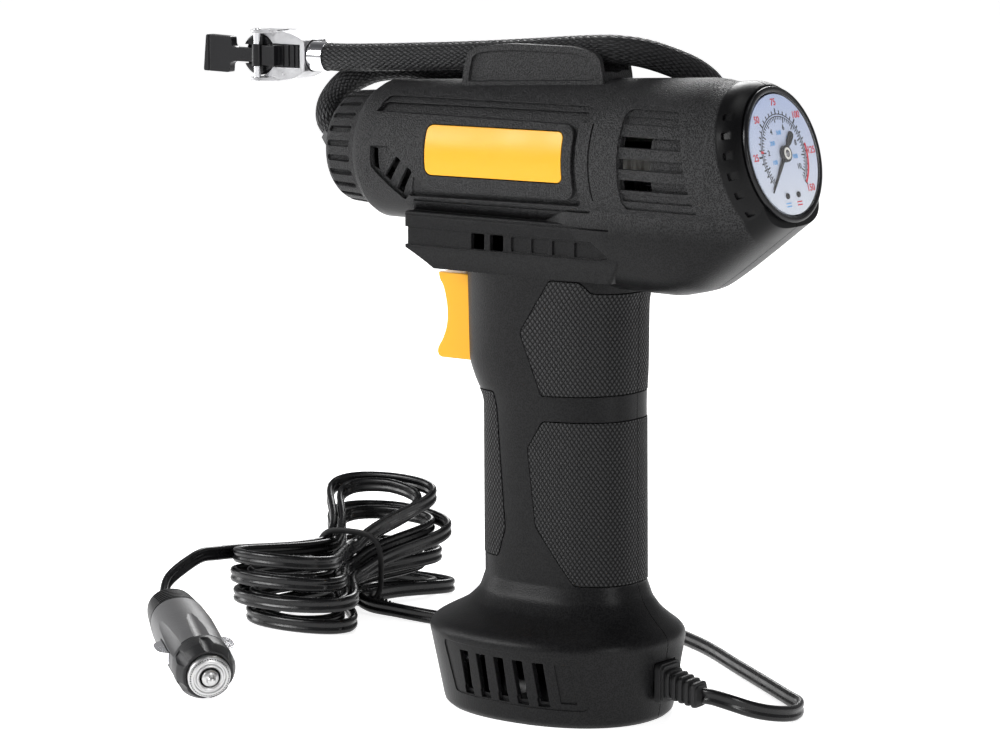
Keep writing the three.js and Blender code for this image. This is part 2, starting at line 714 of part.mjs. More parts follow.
function buildGauge() {
  const group = gaugeGroup();
  const o = vec(0, 0, 0);
  const bezelInner = dialR + 0.3;
  add('gauge_bezel', revolve([
    [bezelInner, -bezelLip], [bezelR, -bezelLip], [bezelR, -0.5], [bezelR - 0.6, 0], [bezelInner + 0.8, 0],
    [bezelInner, -0.8], [bezelInner, -bezelLip]], o, Z, 28), blackPlastic, group);
  const seat = bezelLip + gap;
  add('gauge_case', revolve([
    [2.6, -caseDepth], [caseR, -caseDepth], [caseR, -seat], [caseR - 1, -seat], [caseR - 1, -caseDepth + 1.2],
    [2.6, -caseDepth + 1.2], [2.6, -caseDepth]], o, Z, 24), blackPlastic, group);
  const dome = (r) => -0.4 + lensRise * (1 - (r / dialR) ** 2);
  const lensRs = [0, 9, 15, dialR];
  const under = lensRs.map((r) => [r, dome(r)]);
  const over = [...lensRs].reverse().map((r) => [r, dome(r) + 0.8]);
  add('gauge_lens', revolve([...under, ...over], o, Z, 20), clearLens, group);
  const dialTop = dialDepth;
  add('gauge_dial', revolve([
    [1.4, -dialTop - 0.8], [dialR, -dialTop - 0.8], [dialR, -dialTop], [1.4, -dialTop],
    [1.4, -dialTop - 0.8]], o, Z, 28), dialPaint, group);
  const angle = needleZero * Math.PI / 180;
  const pointer = prismXY([[-6.5, -1.1], [-5, -1.3], [2.2, -0.8], [15.6, -0.16], [15.6, 0.16], [2.2, 0.8],
    [-5, 1.3], [-6.5, 1.1]], -dialTop + 0.3, -dialTop + 0.7);
  const hub = rod(vec(0, 0, -dialTop + 0.25), vec(0, 0, -dialTop + 1.7), 2.1, 14);
  const stem = rod(vec(0, 0, -dialTop - 6.5), vec(0, 0, -dialTop + 0.3), 0.9, 8);
  const needle = add('gauge_needle', join(pointer, hub, stem), blackPlastic, group);
  needle.rotation.z = angle;
  const tubeR = 12;
  const arc = Array.from({ length: 9 }, (_, i) => {
    const a = (-90 + i * 30) * Math.PI / 180;
    return vec(tubeR * Math.cos(a), tubeR * Math.sin(a), -9.5);
  });
  const block = rod(vec(0, -tubeR, -caseDepth + 1.5), vec(0, -tubeR, -7.4), 3.2, 16);
  add('bourdon_tube', join(tubeAlong(arc, 1.6, 10, 6), block), brass, group);
  add('gauge_connector', cut(
    join(rod(vec(0, 0, -caseDepth - 8), vec(0, 0, -caseDepth + 3.5), 2.3, 16),
      rod(vec(0, 0, -caseDepth - 3.2), vec(0, 0, -caseDepth - gap), 4.6, 6)),
    rod(vec(0, 0, -caseDepth - 20), vec(0, 0, -caseDepth + 1), 0.9, 10)), brass, group);
}

// ---------------------------------------------------------------- drive
// Outline of a spur gear with involute flanks.
function gearOutline(teeth, turn) {
  const pitchR = gearModule * teeth / 2;
  const pressure = 20 * Math.PI / 180;
  const baseR = pitchR * Math.cos(pressure);
  const tipR = pitchR + gearModule;
  const rootR = pitchR - 1.25 * gearModule;
  const roll = (r) => {
    const t = Math.sqrt(Math.max((r / baseR) ** 2 - 1, 0));
    return t - Math.atan(t);
  };
  const half = Math.PI / (2 * teeth) - backlash / (2 * pitchR);
  const low = Math.max(rootR, baseR);
  const flank = [low, tipR];
  const points = [];
  const put = (r, a) => points.push([r * Math.cos(a), r * Math.sin(a)]);
  for (let i = 0; i < teeth; i += 1) {
    const middle = turn + 2 * Math.PI * i / teeth;
    const widest = half + roll(pitchR) - roll(low);
    if (low > rootR + 0.2) put(rootR, middle - widest);
    flank.forEach((r) => put(r, middle - (half + roll(pitchR) - roll(r))));
    [...flank].reverse().forEach((r) => put(r, middle + (half + roll(pitchR) - roll(r))));
    if (low > rootR + 0.2) put(rootR, middle + widest);
  }
  return points;
}

const motorTopZ = motorBottomZ + motorLength;
const frameZ = motorTopZ + gap;
const frameThickness = 2.2;
const gearZ = frameZ + frameThickness + 0.9;
const rodZ = gearZ + gearThickness + 0.5;
const driveZ = rodZ + rodThickness / 2;
const gearX = motorX - gearModule * (pinionTeeth + gearTeeth) / 2;
const pistonPinX = gearX - crankR - rodLength;
const shaftR = 1.15;
const axleR = 2;

function buildMotor() {
  const base = vec(motorX, 0, motorBottomZ);
  const capHeight = 5;
  const airGap = 0.5;
  const top = motorLength - 1;
  add('motor_can', revolve([
    [motorR, capHeight + gap], [motorR, motorLength - 0.6], [motorR - 0.6, motorLength], [3 + gap, motorLength],
    [3 + gap, top], [motorR - 1, top], [motorR - 1, capHeight + gap], [motorR, capHeight + gap],
  ], base, Z, 18), steel);
  add('motor_endcap', revolve([
    [shaftR + 0.1, 0], [motorR, 0], [motorR, capHeight], [shaftR + 0.1, capHeight], [shaftR + 0.1, 0],
  ], base, Z, 18), whitePlastic);
  const shaftTop = gearZ + gearThickness + 1;
  const shaft = rod(vec(motorX, 0, motorBottomZ + 0.6), vec(motorX, 0, shaftTop), shaftR, 16);
  const rotor = rod(vec(motorX, 0, motorBottomZ + capHeight + 2), vec(motorX, 0, motorTopZ - 3),
    motorR - 1 - airGap, 16);
  add('rotor_shaft', join(shaft, rotor), steel);
  const teeth = prismXY(gearOutline(pinionTeeth, Math.PI), gearZ - 0.4, gearZ + gearThickness + 0.4);
  const pinion = cut(teeth, rod(vec(0, 0, gearZ - 5), vec(0, 0, gearZ + 10), shaftR + 0.02, 16));
  const mesh = add('pinion', pinion, brass);
  mesh.position.x = motorX;
}

function buildGearTrain() {
  const frameX0 = pistonPinX + 9;
  const half = 13;
  const plate = prismXY([
    [frameX0 + 1, -half], [motorX + 12, -half], [motorX + 16, -8], [motorX + 16, 8], [motorX + 12, half],
    [frameX0 + 1, half]], frameZ, frameZ + frameThickness);
  const front = box(frameX0, frameX0 + 2.6, -half, half, frameZ, driveZ + boreR + cylinderWall);
  const skirtHole = rod(vec(frameX0 - 5, 0, driveZ), vec(frameX0 + 9, 0, driveZ), boreR + gap, 24);
  const notch = box(frameX0 + 2.6, frameX0 + 12, -boreR - 0.8, boreR + 0.8, frameZ - 1, frameZ + 10);
  const through = (x, radius) => rod(vec(x, 0, frameZ - beyond), vec(x, 0, frameZ + beyond), radius, 20);
  const shaftHole = through(motorX, 4);
  const axleHole = through(gearX, axleR + 0.3);
  add('gearbox_frame', cut(join(plate, front), skirtHole, notch, shaftHole, axleHole), aluminium);
  const axle = join(
    rod(vec(gearX, 0, frameZ - 0.9 - 1.2), vec(gearX, 0, gearZ + gearThickness), axleR, 20),
    rod(vec(gearX, 0, frameZ - 2.1), vec(gearX, 0, frameZ - gap), axleR + 1.6, 20));
  add('gear_axle', axle, steel);
  const disc = prismXY(gearOutline(gearTeeth, Math.PI / gearTeeth), gearZ, gearZ + gearThickness);
  const gear = cut(disc, rod(vec(0, 0, gearZ - 5), vec(0, 0, gearZ + 10), axleR + runningGap / 3, 20));
  const mesh = add('crank_gear', gear, whitePlastic);
  mesh.position.x = gearX;
}

function buildPump() {
  const crankX = gearX - crankR;
  const crankPinR = 2;
  const bigR = 5;
  const smallR = 3.4;
  const bar = box(pistonPinX, crankX, -2.2, 2.2, rodZ, rodZ + rodThickness);
  const big = rod(vec(crankX, 0, rodZ), vec(crankX, 0, rodZ + rodThickness), bigR, 16);
  const small = rod(vec(pistonPinX, 0, rodZ), vec(pistonPinX, 0, rodZ + rodThickness), smallR, 14);
  const hole = (x, radius, sides) => rod(vec(x, 0, rodZ - 10), vec(x, 0, rodZ + 10), radius, sides);
  const pinHole = hole(crankX, crankPinR + 0.05, 14);
  const wristHole = hole(pistonPinX, 1.5 + 0.1, 16);
  add('conn_rod', cut(join(bar, big, small), pinHole, wristHole), aluminium);
  const pinTop = rodZ + rodThickness + 1.2;
  add('crank_pin', rod(vec(crankX, 0, rodZ - 0.2), vec(crankX, 0, pinTop), crankPinR, 14), steel);

  const crown = pistonPinX - 8;
  const pistonR = boreR - runningGap;
  const axisFrom = vec(crown, 0, driveZ);
  const pistonBody = revolve([
    [0, 0], [pistonR, 0], [pistonR, 2], [pistonR - 1.3, 2], [pistonR - 1.3, 4], [pistonR, 4], [pistonR, 12],
    [0, 12]], axisFrom, X, 20);
  const slot = box(crown + 4.4, crown + 30, -smallR - 0.6, smallR + 0.6, rodZ - 0.4, rodZ + rodThickness + 0.4);
  const wristHalf = pistonR - 1.5;
  const wrist = rod(vec(pistonPinX, 0, driveZ - wristHalf), vec(pistonPinX, 0, driveZ + wristHalf), 1.5, 16);
  add('piston', join(cut(pistonBody, slot), wrist), aluminium);
  add('piston_seal', revolve([
    [pistonR - 1, 2.25], [boreR - 0.08, 2.25], [boreR - 0.08, 3.75], [pistonR - 1, 3.75], [pistonR - 1, 2.25],
  ], axisFrom, X, 20), rubber);

  const headX = crown - 1.2;
  const outerR = boreR + cylinderWall;
  const frameX0 = pistonPinX + 9;
  const skirtEnd = frameX0 - gap;
  add('cylinder', revolve([
    [boreR, headX], [outerR, headX], [outerR, skirtEnd], [boreR, skirtEnd], [boreR, headX],
  ], vec(0, 0, driveZ), X, 20), aluminium);
  const headLength = 6;
  const sideReach = outerR + 2.4;
  const head = rod(vec(headX - headLength, 0, driveZ), vec(headX - gap, 0, driveZ), outerR + 1.2, 20);
  const nipple = rod(vec(headX - headLength - 6, 0, driveZ), vec(headX - headLength, 0, driveZ), 1.9, 16);
  const sideNipple = rod(vec(headX - 3, 0, driveZ), vec(headX - 3, sideReach, driveZ), 1.6, 12);
  const port = rod(vec(headX - 40, 0, driveZ), vec(headX + 5, 0, driveZ), 0.9, 10);
  add('cylinder_head', cut(join(head, nipple, sideNipple), port), aluminium);

  const nippleEnd = vec(headX - headLength - 6 - gap, 0, driveZ);
  const outletStart = vec(noseX + wall + 9 + gap, 0, noseZ);
  add('outlet_tube', hollowTube([
    nippleEnd.clone(), nippleEnd.clone().add(vec(-2, 0, 0)), vec((nippleEnd.x + outletStart.x) / 2, 0,
      (driveZ + noseZ) / 2), outletStart.clone().add(vec(1.5, 0, 0)), outletStart], 2.2, 12), whitePlastic);

  const gaugeEnd = gaugeCentre.clone().addScaledVector(gaugeAxis, -caseDepth - 8 - gap);
  const sideEnd = vec(headX - 3, sideReach + gap, driveZ);
  add('gauge_tube', hollowTube([
    sideEnd, sideEnd.clone().add(vec(0, 1.2, 0)), vec(headX + 1, 17.4, driveZ + 0.3),
    vec(headX + 12, 18.2, noseZ + 6), vec(0, 18.6, noseZ + 6.6), vec(24, 18.8, noseZ + 7),
    vec(42, 17.6, noseZ + 7), vec(51.5, 12.4, noseZ + 5.4), vec(55.6, 5.4, noseZ + 2.2),
    gaugeEnd.clone().addScaledVector(gaugeAxis, -4.4), gaugeEnd,
  ], 1.6, 22), whitePlastic);
}

// A soft tube with a fine bore.
function hollowTube(points, radius, steps) {
  return tubeAlong(points, radius, steps, 6);
}

// ---------------------------------------------------------------- trigger and switch
const stemX = -17.5;
const switchX = -6;
const switchHalfHeight = 10;
const switchZ = triggerBottomZ + 14.8;

function buildTrigger() {
  const half = triggerHalfWidth;
  const outline = [
    [-44.2, triggerTopZ], [-30.4, triggerTopZ], [-26.6, triggerTopZ - 3.2], [-26.6, triggerBottomZ],
    [-42.6, triggerBottomZ], [-44.6, triggerBottomZ + 1.8], [-44.2, triggerBottomZ + 4],
    [-41.8, triggerBottomZ + 8.6], [-40.5, triggerBottomZ + 14.5], [-41, triggerBottomZ + 20],
    [-42.6, triggerBottomZ + 25.2],
  ];
  const finger = prismXZ(outline, -half, half);
  const stem = box(-27, stemX, -3, 3, switchZ - 3, switchZ + 3);
  add('trigger', join(finger, stem), yellowPlastic);

  const plungerEnd = -26.6 + triggerTravel + gap;
  const plunger = rod(vec(plungerEnd, 0, switchZ + 7), vec(switchX + 1, 0, switchZ + 7), 1.6, 12);
  const block = box(switchX, switchX + 15, -7, 7, switchZ - switchHalfHeight, switchZ + switchHalfHeight);
  add('switch_body', join(block, plunger), greyPlastic);
  add('trigger_spring', springBetween(stemX + gap, switchX - gap, switchZ), steel);
}

function springBetween(x0, x1, z) {
  const turns = 3;
  const wire = 0.4;
  const steps = 24;
  const coil = new THREE.Curve();
  coil.getPoint = (t, target = vec(0, 0, 0)) => {
    const angle = 2 * Math.PI * turns * t;
    return target.set(x0 + wire + (x1 - x0 - 2 * wire) * t, 2.3 * Math.cos(angle), z + 2.3 * Math.sin(angle));
  };
  const section = new THREE.Shape(Array.from({ length: 4 }, (_, i) => {
    const angle = 2 * Math.PI * i / 4;
    return new THREE.Vector2(wire * Math.cos(angle), wire * Math.sin(angle));
  }));
  return solid(new THREE.ExtrudeGeometry(section, { steps, extrudePath: coil, bevelEnabled: false }));
}

function buildWires() {
  const switchBottom = vec(2, 0, switchZ - switchHalfHeight - gap);
  add('supply_wires', tubeAlong([
    vec(strainFace - strainNeck - gap, 0, strainZ), vec(32.6, 0, strainZ), vec(28, 0, 15.6), vec(19, 0, 28),
    vec(12, 0, 46), vec(9, 0, gripSplitZ - 32), vec(8, 0, gripSplitZ - 6), vec(3, 0, switchZ - 19),
    switchBottom.clone().add(vec(0, 0, -3)), switchBottom], 1.5, 16, 6), rubber);
  const switchTop = vec(-3, 0, switchZ + switchHalfHeight + gap);
  add('motor_wires', tubeAlong([
    switchTop, switchTop.clone().add(vec(0, 0, 3)), vec(-1, 0, neckBottomZ + 0.2), vec(6, 0, neckBottomZ + 4),
    vec(20, 0, neckBottomZ + 3.1), vec(motorX - motorR - 4.5, 0, motorBottomZ + 2.5),
    vec(motorX - motorR - gap - 0.1, 0, motorBottomZ + 2.5),
  ], 1.2, 9, 6), rubber);
}

// ---------------------------------------------------------------- hose and chuck
const hoseStart = vec(capFrontX - 4.2, 0, noseZ).addScaledVector(outletDirection, outletReach + gap);
const ferruleX = -95.2;
const ferruleLength = 14.2;
const hoseEndZ = noseZ + 29.6;

// A point at an angle from the top towards the right side, at a distance from the barrel's axis.
function round(x, degrees, distance) {
  const a = degrees * Math.PI / 180;
  return vec(x, distance * Math.sin(a), axisZ(x) + distance * Math.cos(a));
}

// A point at a height over the middle of the nose.
function over(x, y, height) {
  return vec(x, y, noseZ + height);
}

function hosePoints() {
  return [
    hoseStart, hoseStart.clone().addScaledVector(outletDirection, 3), over(-96.4, 2.6, 13.4),
    over(-93.2, 6.4, 19.8), over(-85, 9.8, 24.8), over(-75, 11.8, 26.6), over(-64, 13, 26.6),
    over(-40, 16.6, 25.4), over(-10, 21.8, 22.4), over(12, 25.4, 19.2), round(25, 63.5, 31.2),
    round(35, 64.5, 31.7), round(41.6, 58, 31.9), round(43.8, 47, 32), round(40.8, 34, 32.3),
    round(34.6, 20.6, 33), round(28, 9.2, 34.2), over(20.4, 0.8, 37), over(13, 0, 36.7), over(5, 0, 36.1),
    over(-12, 0, 34.6), over(-33, 0, 32.9), over(-56, 0, 31.4), over(-80, 0, 30),
    over(ferruleX + 5, 0, 29.6), over(ferruleX + gap, 0, 29.6),
  ];
}

const chuckX = -121.5;               // axis of the round socket
const chuckZ = hoseEndZ;
const pinX = -120.2;
const pinY = -8;
const pinR = 1.2;
const cheekZ = 8.7;

function buildHose() {
  add('hose', tubeAlong(hosePoints(), hoseR, 42, 8), braid);
  const end = ferruleLength;
  const ferrule = revolve([
    [2.4, 0], [5, 0], [5, end - 4], [4.6, end - 3.4], [4.6, end], [2.4, end], [2.4, 0],
  ], vec(ferruleX, 0, hoseEndZ), X.clone().negate(), 16);
  add('hose_ferrule', ferrule, chrome);
}

function buildChuck() {
  const rear = -101.6;
  const blockFront = -113.6;
  const front = -9.8;
  const back = 6.6;
  const slotFloor = -6;
  const block = prismXZ([
    [blockFront, chuckZ - cheekZ], [rear - 3, chuckZ - cheekZ], [rear - 0.8, chuckZ - cheekZ + 1],
    [rear, chuckZ - 5.4], [rear, chuckZ + 5.4], [rear - 0.8, chuckZ + cheekZ - 1],
    [rear - 3, chuckZ + cheekZ], [blockFront, chuckZ + cheekZ],
  ], front, back);
  const ear = (side) => {
    const z = chuckZ + side * (cheekZ - 0.6);
    return box(pinX - 2.6, blockFront + 1, front, 4, z - 0.6, z + 0.6);
  };
  const slot = box(chuckX - 30, rear - 2, -30, slotFloor, chuckZ - 4.2, chuckZ + 4.2);
  const socketR = 7.1;
  const socketRoom = rod(vec(chuckX, -30, chuckZ), vec(chuckX, 30, chuckZ), socketR + gap, 24);
  const ferruleBore = rod(vec(rear - 8.4, 0, chuckZ), vec(rear + 10, 0, chuckZ), 5 + gap + 0.1, 20);
  const seatX = ferruleX - ferruleLength - gap;
  const ferruleSeat = rod(vec(seatX, 0, chuckZ), vec(rear, 0, chuckZ), 4.6 + gap + 0.1, 20);
  const pinHole = rod(vec(pinX, pinY, chuckZ - 20), vec(pinX, pinY, chuckZ + 20), pinR + 0.1, 12);
  const body = cut(join(cut(block, socketRoom), ear(-1), ear(1)), slot, ferruleBore, ferruleSeat, pinHole);
  add('chuck_body', body, chrome);
  const cushion = join(
    box(pinX + 2.5, rear - 2 - gap, front + gap, slotFloor - gap, chuckZ - 3.8, chuckZ + 3.8),
    box(pinX + 2.5, blockFront - 1.4, slotFloor - 1, slotFloor + 1, chuckZ - 3.8, chuckZ + 3.8));
  add('chuck_socket', cut(
    join(rod(vec(chuckX, -5.7, chuckZ), vec(chuckX, 9, chuckZ), socketR, 24), cushion),
    rod(vec(chuckX, 0, chuckZ), vec(chuckX, 20, chuckZ), 3.9, 12)), rubber);
  const pinHalf = cheekZ + 0.5;
  add('chuck_pin', rod(vec(pinX, pinY, chuckZ - pinHalf), vec(pinX, pinY, chuckZ + pinHalf), pinR, 12), chrome);
  const half = 1.5;
  const arm = box(-132, pinX, pinY - half, pinY + half, chuckZ - 2.4, chuckZ + 2.4);
  const tab = prismXZ([
    [-142.8, chuckZ - 6.2], [-131.4, chuckZ - 6.4], [-130.4, chuckZ + 6], [-141.6, chuckZ + 6.4],
  ], pinY - half, pinY + half);
  const hub = rod(vec(pinX, pinY, chuckZ - 3.8), vec(pinX, pinY, chuckZ + 3.8), 1.85, 16);
  const hole = rod(vec(pinX, pinY, chuckZ - 20), vec(pinX, pinY, chuckZ + 20), pinR + 0.06, 16);
  add('chuck_lever', cut(join(arm, tab, hub), hole), blackPlastic);
}

// ---------------------------------------------------------------- cord, hank and plug
function buildStrainRelief() {
  const plate = 3;
  const flange = box(strainFace, strainFace + plate, -6, 6, strainZ - 6.6, strainZ + 6.6);
  const half0 = strainSlotHalf;
  const neck = box(strainFace - strainNeck, strainFace, -half0, half0, strainZ - half0, strainZ + half0);
  let body = join(flange, neck);
  const ribs = 5;
  const step = strainLength / ribs;
  for (let i = 0; i < ribs; i += 1) {
    const x = strainFace + plate + i * step;
    const z = strainZ - (i + 1) * strainDroop / ribs;
    const half = 4.8 - i * 0.15;
    body = join(body,
      box(x - 0.2, x + step * 0.62, -half, half, z - half, z + half),
      box(x, x + step + 0.1, -half + 0.9, half - 0.9, z - half + 0.9, z + half - 0.9));
  }
  add('strain_relief', body, rubber);
}

const cordExit = vec(strainFace + 3 + strainLength + gap + 0.1, 0, strainZ - strainDroop);
const cordR = 2;
const cordHeight = cordWidth / 2 + 0.1;

// The hank lies along one line, with its loops drawn in at the tie in the middle.
const hankAlong = vec(Math.sin(hankAngle), Math.cos(hankAngle), 0);
const hankAcross = vec(Math.cos(hankAngle), -Math.sin(hankAngle), 0);
const columnPitch = 3.9;
const layerPitch = 6.1;
const waistHalf = 1.7;
const waistLift = 2;
const lobeSwell = 9;
const lobeGrowth = 2.2;
const loopStep = 3.6;
const layerFan = 0.17;              // how far the far ends of the layers fan up, in radians a layer
const nearStretch = 0.04;           // the top loops reach this much further at the near end
const nearSway = 0.12;              // how far the near ends of the layers splay sideways
const swayFrom = 16;
const entryEase = 3.6;              // the first strand keeps clear of the next one for the lead's sake
const hankStart = 0.03;
const hankEnd = 7.64;

function hankPoint(turns) {
  const perLayer = hankTurns / hankLayers;
  const phase = ((turns % (2 * perLayer)) + 2 * perLayer) % (2 * perLayer);
  const column = Math.abs(perLayer - phase);
  let level = 0;
  for (let k = 1; k < hankLayers; k += 1) {
    level += Math.min(Math.max((turns - k * perLayer) * 2 + 0.5, 0), 1);
  }
  const angle = Math.PI / 2 + 2 * Math.PI * turns;
  const swell = lobeSwell + lobeGrowth * column;
  const end = -Math.cos(angle);
  const stretch = end > 0 ? 0.86 : 1 + nearStretch * level / (hankLayers - 1);
  const reach = (hankHalfLength * stretch + loopStep * column) * end;
  const side = (waistHalf + columnPitch * column + swell) * Math.sin(angle) + swell * Math.sin(3 * angle);
  const sway = nearSway * (2 - level) * Math.max(-reach - swayFrom, 0);
  const ease = entryEase * Math.max(0, 1 - turns / 0.25) ** 2 + sway;
  const open = Math.cos(angle) ** 2;
  const fan = reach > 0 ? level * layerFan : 0;
  const near = reach < 0 ? 0.25 * open : 0;
  const lift = level * layerPitch * (1 + near) + waistLift * (1 - open);
  const along = reach > 0 ? reach * Math.cos(fan) : reach;
  return hankCentre.clone().addScaledVector(hankAlong, along).addScaledVector(hankAcross, side + ease)
    .setZ(cordHeight + lift + Math.max(reach, 0) * Math.sin(fan));
}

function hankHeading(turns) {
  return hankPoint(turns + 0.005).sub(hankPoint(turns - 0.005)).normalize();
}

// The hank's cord in one piece: a flat six-sided section, wide side upright.
function hankBody() {
  const count = Math.round((hankEnd - hankStart) * hankSteps);
  const rings = [];
  const centres = [];
  const section = [[0, 0.5], [0.5, 0.28], [0.5, -0.28], [0, -0.5], [-0.5, -0.28], [-0.5, 0.28]];
  const put = (centre, heading) => {
    const sideways = Z.clone().cross(heading).normalize();
    const up = heading.clone().cross(sideways);
    rings.push(section.map(([a, b]) => centre.clone().addScaledVector(sideways, a * cordThickness)
      .addScaledVector(up, b * cordWidth)));
    centres.push(centre);
  };
  const first = hankHeading(hankStart);
  put(hankPoint(hankStart).addScaledVector(first, -cordWidth), first);
  for (let i = 0; i <= count; i += 1) {
    const turns = hankStart + (hankEnd - hankStart) * i / count;
    put(hankPoint(turns), hankHeading(turns));
  }
  const last = hankHeading(hankEnd);
  put(hankPoint(hankEnd).addScaledVector(last, cordWidth), last);
  console.log('least gap in the hank', leastGap(rings).toFixed(2));
  return loft(rings);
}

// Least distance between points on the skin of stretches that are not neighbours along the cord.
function leastGap(rings) {
  const skin = [];
  for (let i = 0; i + 1 < rings.length; i += 1) {
    for (let k = 0; k < 3; k += 1) {
      for (let j = 0; j < 6; j += 1) {
        const a = rings[i][j].clone().lerp(rings[i + 1][j], k / 3);
        const b = rings[i][(j + 1) % 6].clone().lerp(rings[i + 1][(j + 1) % 6], k / 3);
        skin.push([i, a], [i, a.clone().lerp(b, 0.5)]);
      }
    }
  }
  const cell = 6;
  const cells = new Map();
  const key = (x, y, z) => `${x},${y},${z}`;
  skin.forEach((entry) => {
    const p = entry[1];
    const k = key(Math.floor(p.x / cell), Math.floor(p.y / cell), Math.floor(p.z / cell));
    if (!cells.has(k)) cells.set(k, []);
    cells.get(k).push(entry);
  });
  let least = cell;
  skin.forEach(([i, p]) => {
    for (let n = 0; n < 27; n += 1) {
      const column = Math.floor(p.x / cell) + n % 3 - 1;
      const row = Math.floor(p.y / cell) + Math.floor(n / 3) % 3 - 1;
      const near = cells.get(key(column, row, Math.floor(p.z / cell) + Math.floor(n / 9) - 1)) || [];
      near.forEach(([j, q]) => {
        if (Math.abs(i - j) > 3) least = Math.min(least, p.distanceTo(q));
      });
    }
  });
  return least;
}

// The lead runs from the strain relief round behind the base to the waist of the hank.
function leadPoints() {
  const heading = hankHeading(hankStart);
  const meet = hankPoint(hankStart).addScaledVector(heading, -cordWidth - gap);
  return [
    cordExit, cordExit.clone().add(vec(3.6, 0, 0)), vec(66.4, 2, 9.4), vec(72, 7.6, 6.6), vec(76, 15, 4.4),
    vec(77.4, 25, cordHeight), vec(74, 34.6, cordHeight), vec(64, 42.6, cordHeight), vec(30, 68.4, cordHeight),
    vec(-2, 92, cordHeight), vec(-26, 103, cordHeight), vec(-50, 99, cordHeight), vec(-72, 84, cordHeight),
    vec(-92, 74, cordHeight), vec(-108, 73, cordHeight), vec(-122, 73, cordHeight + 0.4),
    vec(-134, 73, cordHeight + 0.9), meet.clone().addScaledVector(heading, -9),
    meet.clone().addScaledVector(heading, -cordWidth), meet,
  ];
}

// The tail runs from the top of the hank down to the back of the plug.
function tailPoints() {
  const heading = hankHeading(hankEnd);
  const meet = hankPoint(hankEnd).addScaledVector(heading, cordWidth + gap);
  const back = plugFace.clone().addScaledVector(plugAxis, -plugLength - gap);
  return [
    meet, meet.clone().addScaledVector(heading, cordWidth),
    meet.clone().addScaledVector(heading, 12).add(vec(0.5, 0, -1.6)), vec(-177.4, 9, 19), vec(-172, -1, 14),
    vec(-164.5, -11, 14), vec(-157, -19.6, 18.4), back.clone().addScaledVector(plugAxis, -cordWidth), back,
  ];
}

function buildCord() {
  add('power_cord_lead', tubeAlong(leadPoints(), cordR, 33, 8), cordPvc);
  add('power_cord_hank', hankBody(), cordPvc);
  add('power_cord_tail', tubeAlong(tailPoints(), cordR, 14, 8), cordPvc);
  const clear = gap + cordThickness / 2;
  const low = 1.3;
  const bend = 0.5;
  const top = cordHeight + waistLift + (hankLayers - 1) * layerPitch + cordWidth / 2 + 2.4;
  const columns = hankTurns / hankLayers;
  const right = waistHalf + columns * columnPitch + entryEase + cordR + gap;
  const left = -(waistHalf + (columns - 0.5) * columnPitch + clear + 1.4);
  const wire = 0.9;
  const loop = (grow) => [
    [left - grow, low + bend], [left + bend, low - grow], [right - bend, low - grow],
    [right + grow, low + bend], [right + grow, top - bend], [right - bend, top + grow],
    [left + bend, top + grow], [left - grow, top - bend]];
  const shape = shapeOf(loop(wire));
  shape.holes.push(shapeOf(loop(0)));
  const ring = new THREE.ExtrudeGeometry(shape, { depth: 2, bevelEnabled: false });
  ring.translate(0, 0, -1);
  const tieBasis = new THREE.Matrix4().makeBasis(hankAcross, Z, hankAcross.clone().cross(Z));
  ring.applyMatrix4(tieBasis);
  ring.translate(hankCentre.x, hankCentre.y, hankCentre.z);
  add('twist_tie', solid(ring), rubber);
}

// ---------------------------------------------------------------- 12 V plug
const plugAxis = vec(Math.cos(plugTilt) * Math.cos(plugHeading), Math.cos(plugTilt) * Math.sin(plugHeading),
  -Math.sin(plugTilt));

function plugGroup() {
  const group = new THREE.Group();
  const right = Z.clone().cross(plugAxis).normalize();
  const up = plugAxis.clone().cross(right);
  group.quaternion.setFromRotationMatrix(new THREE.Matrix4().makeBasis(right, up, plugAxis));
  group.position.copy(plugFace);
  root.add(group);
  return group;
}

const contactTravel = 1.2;
const tipTravel = 3;

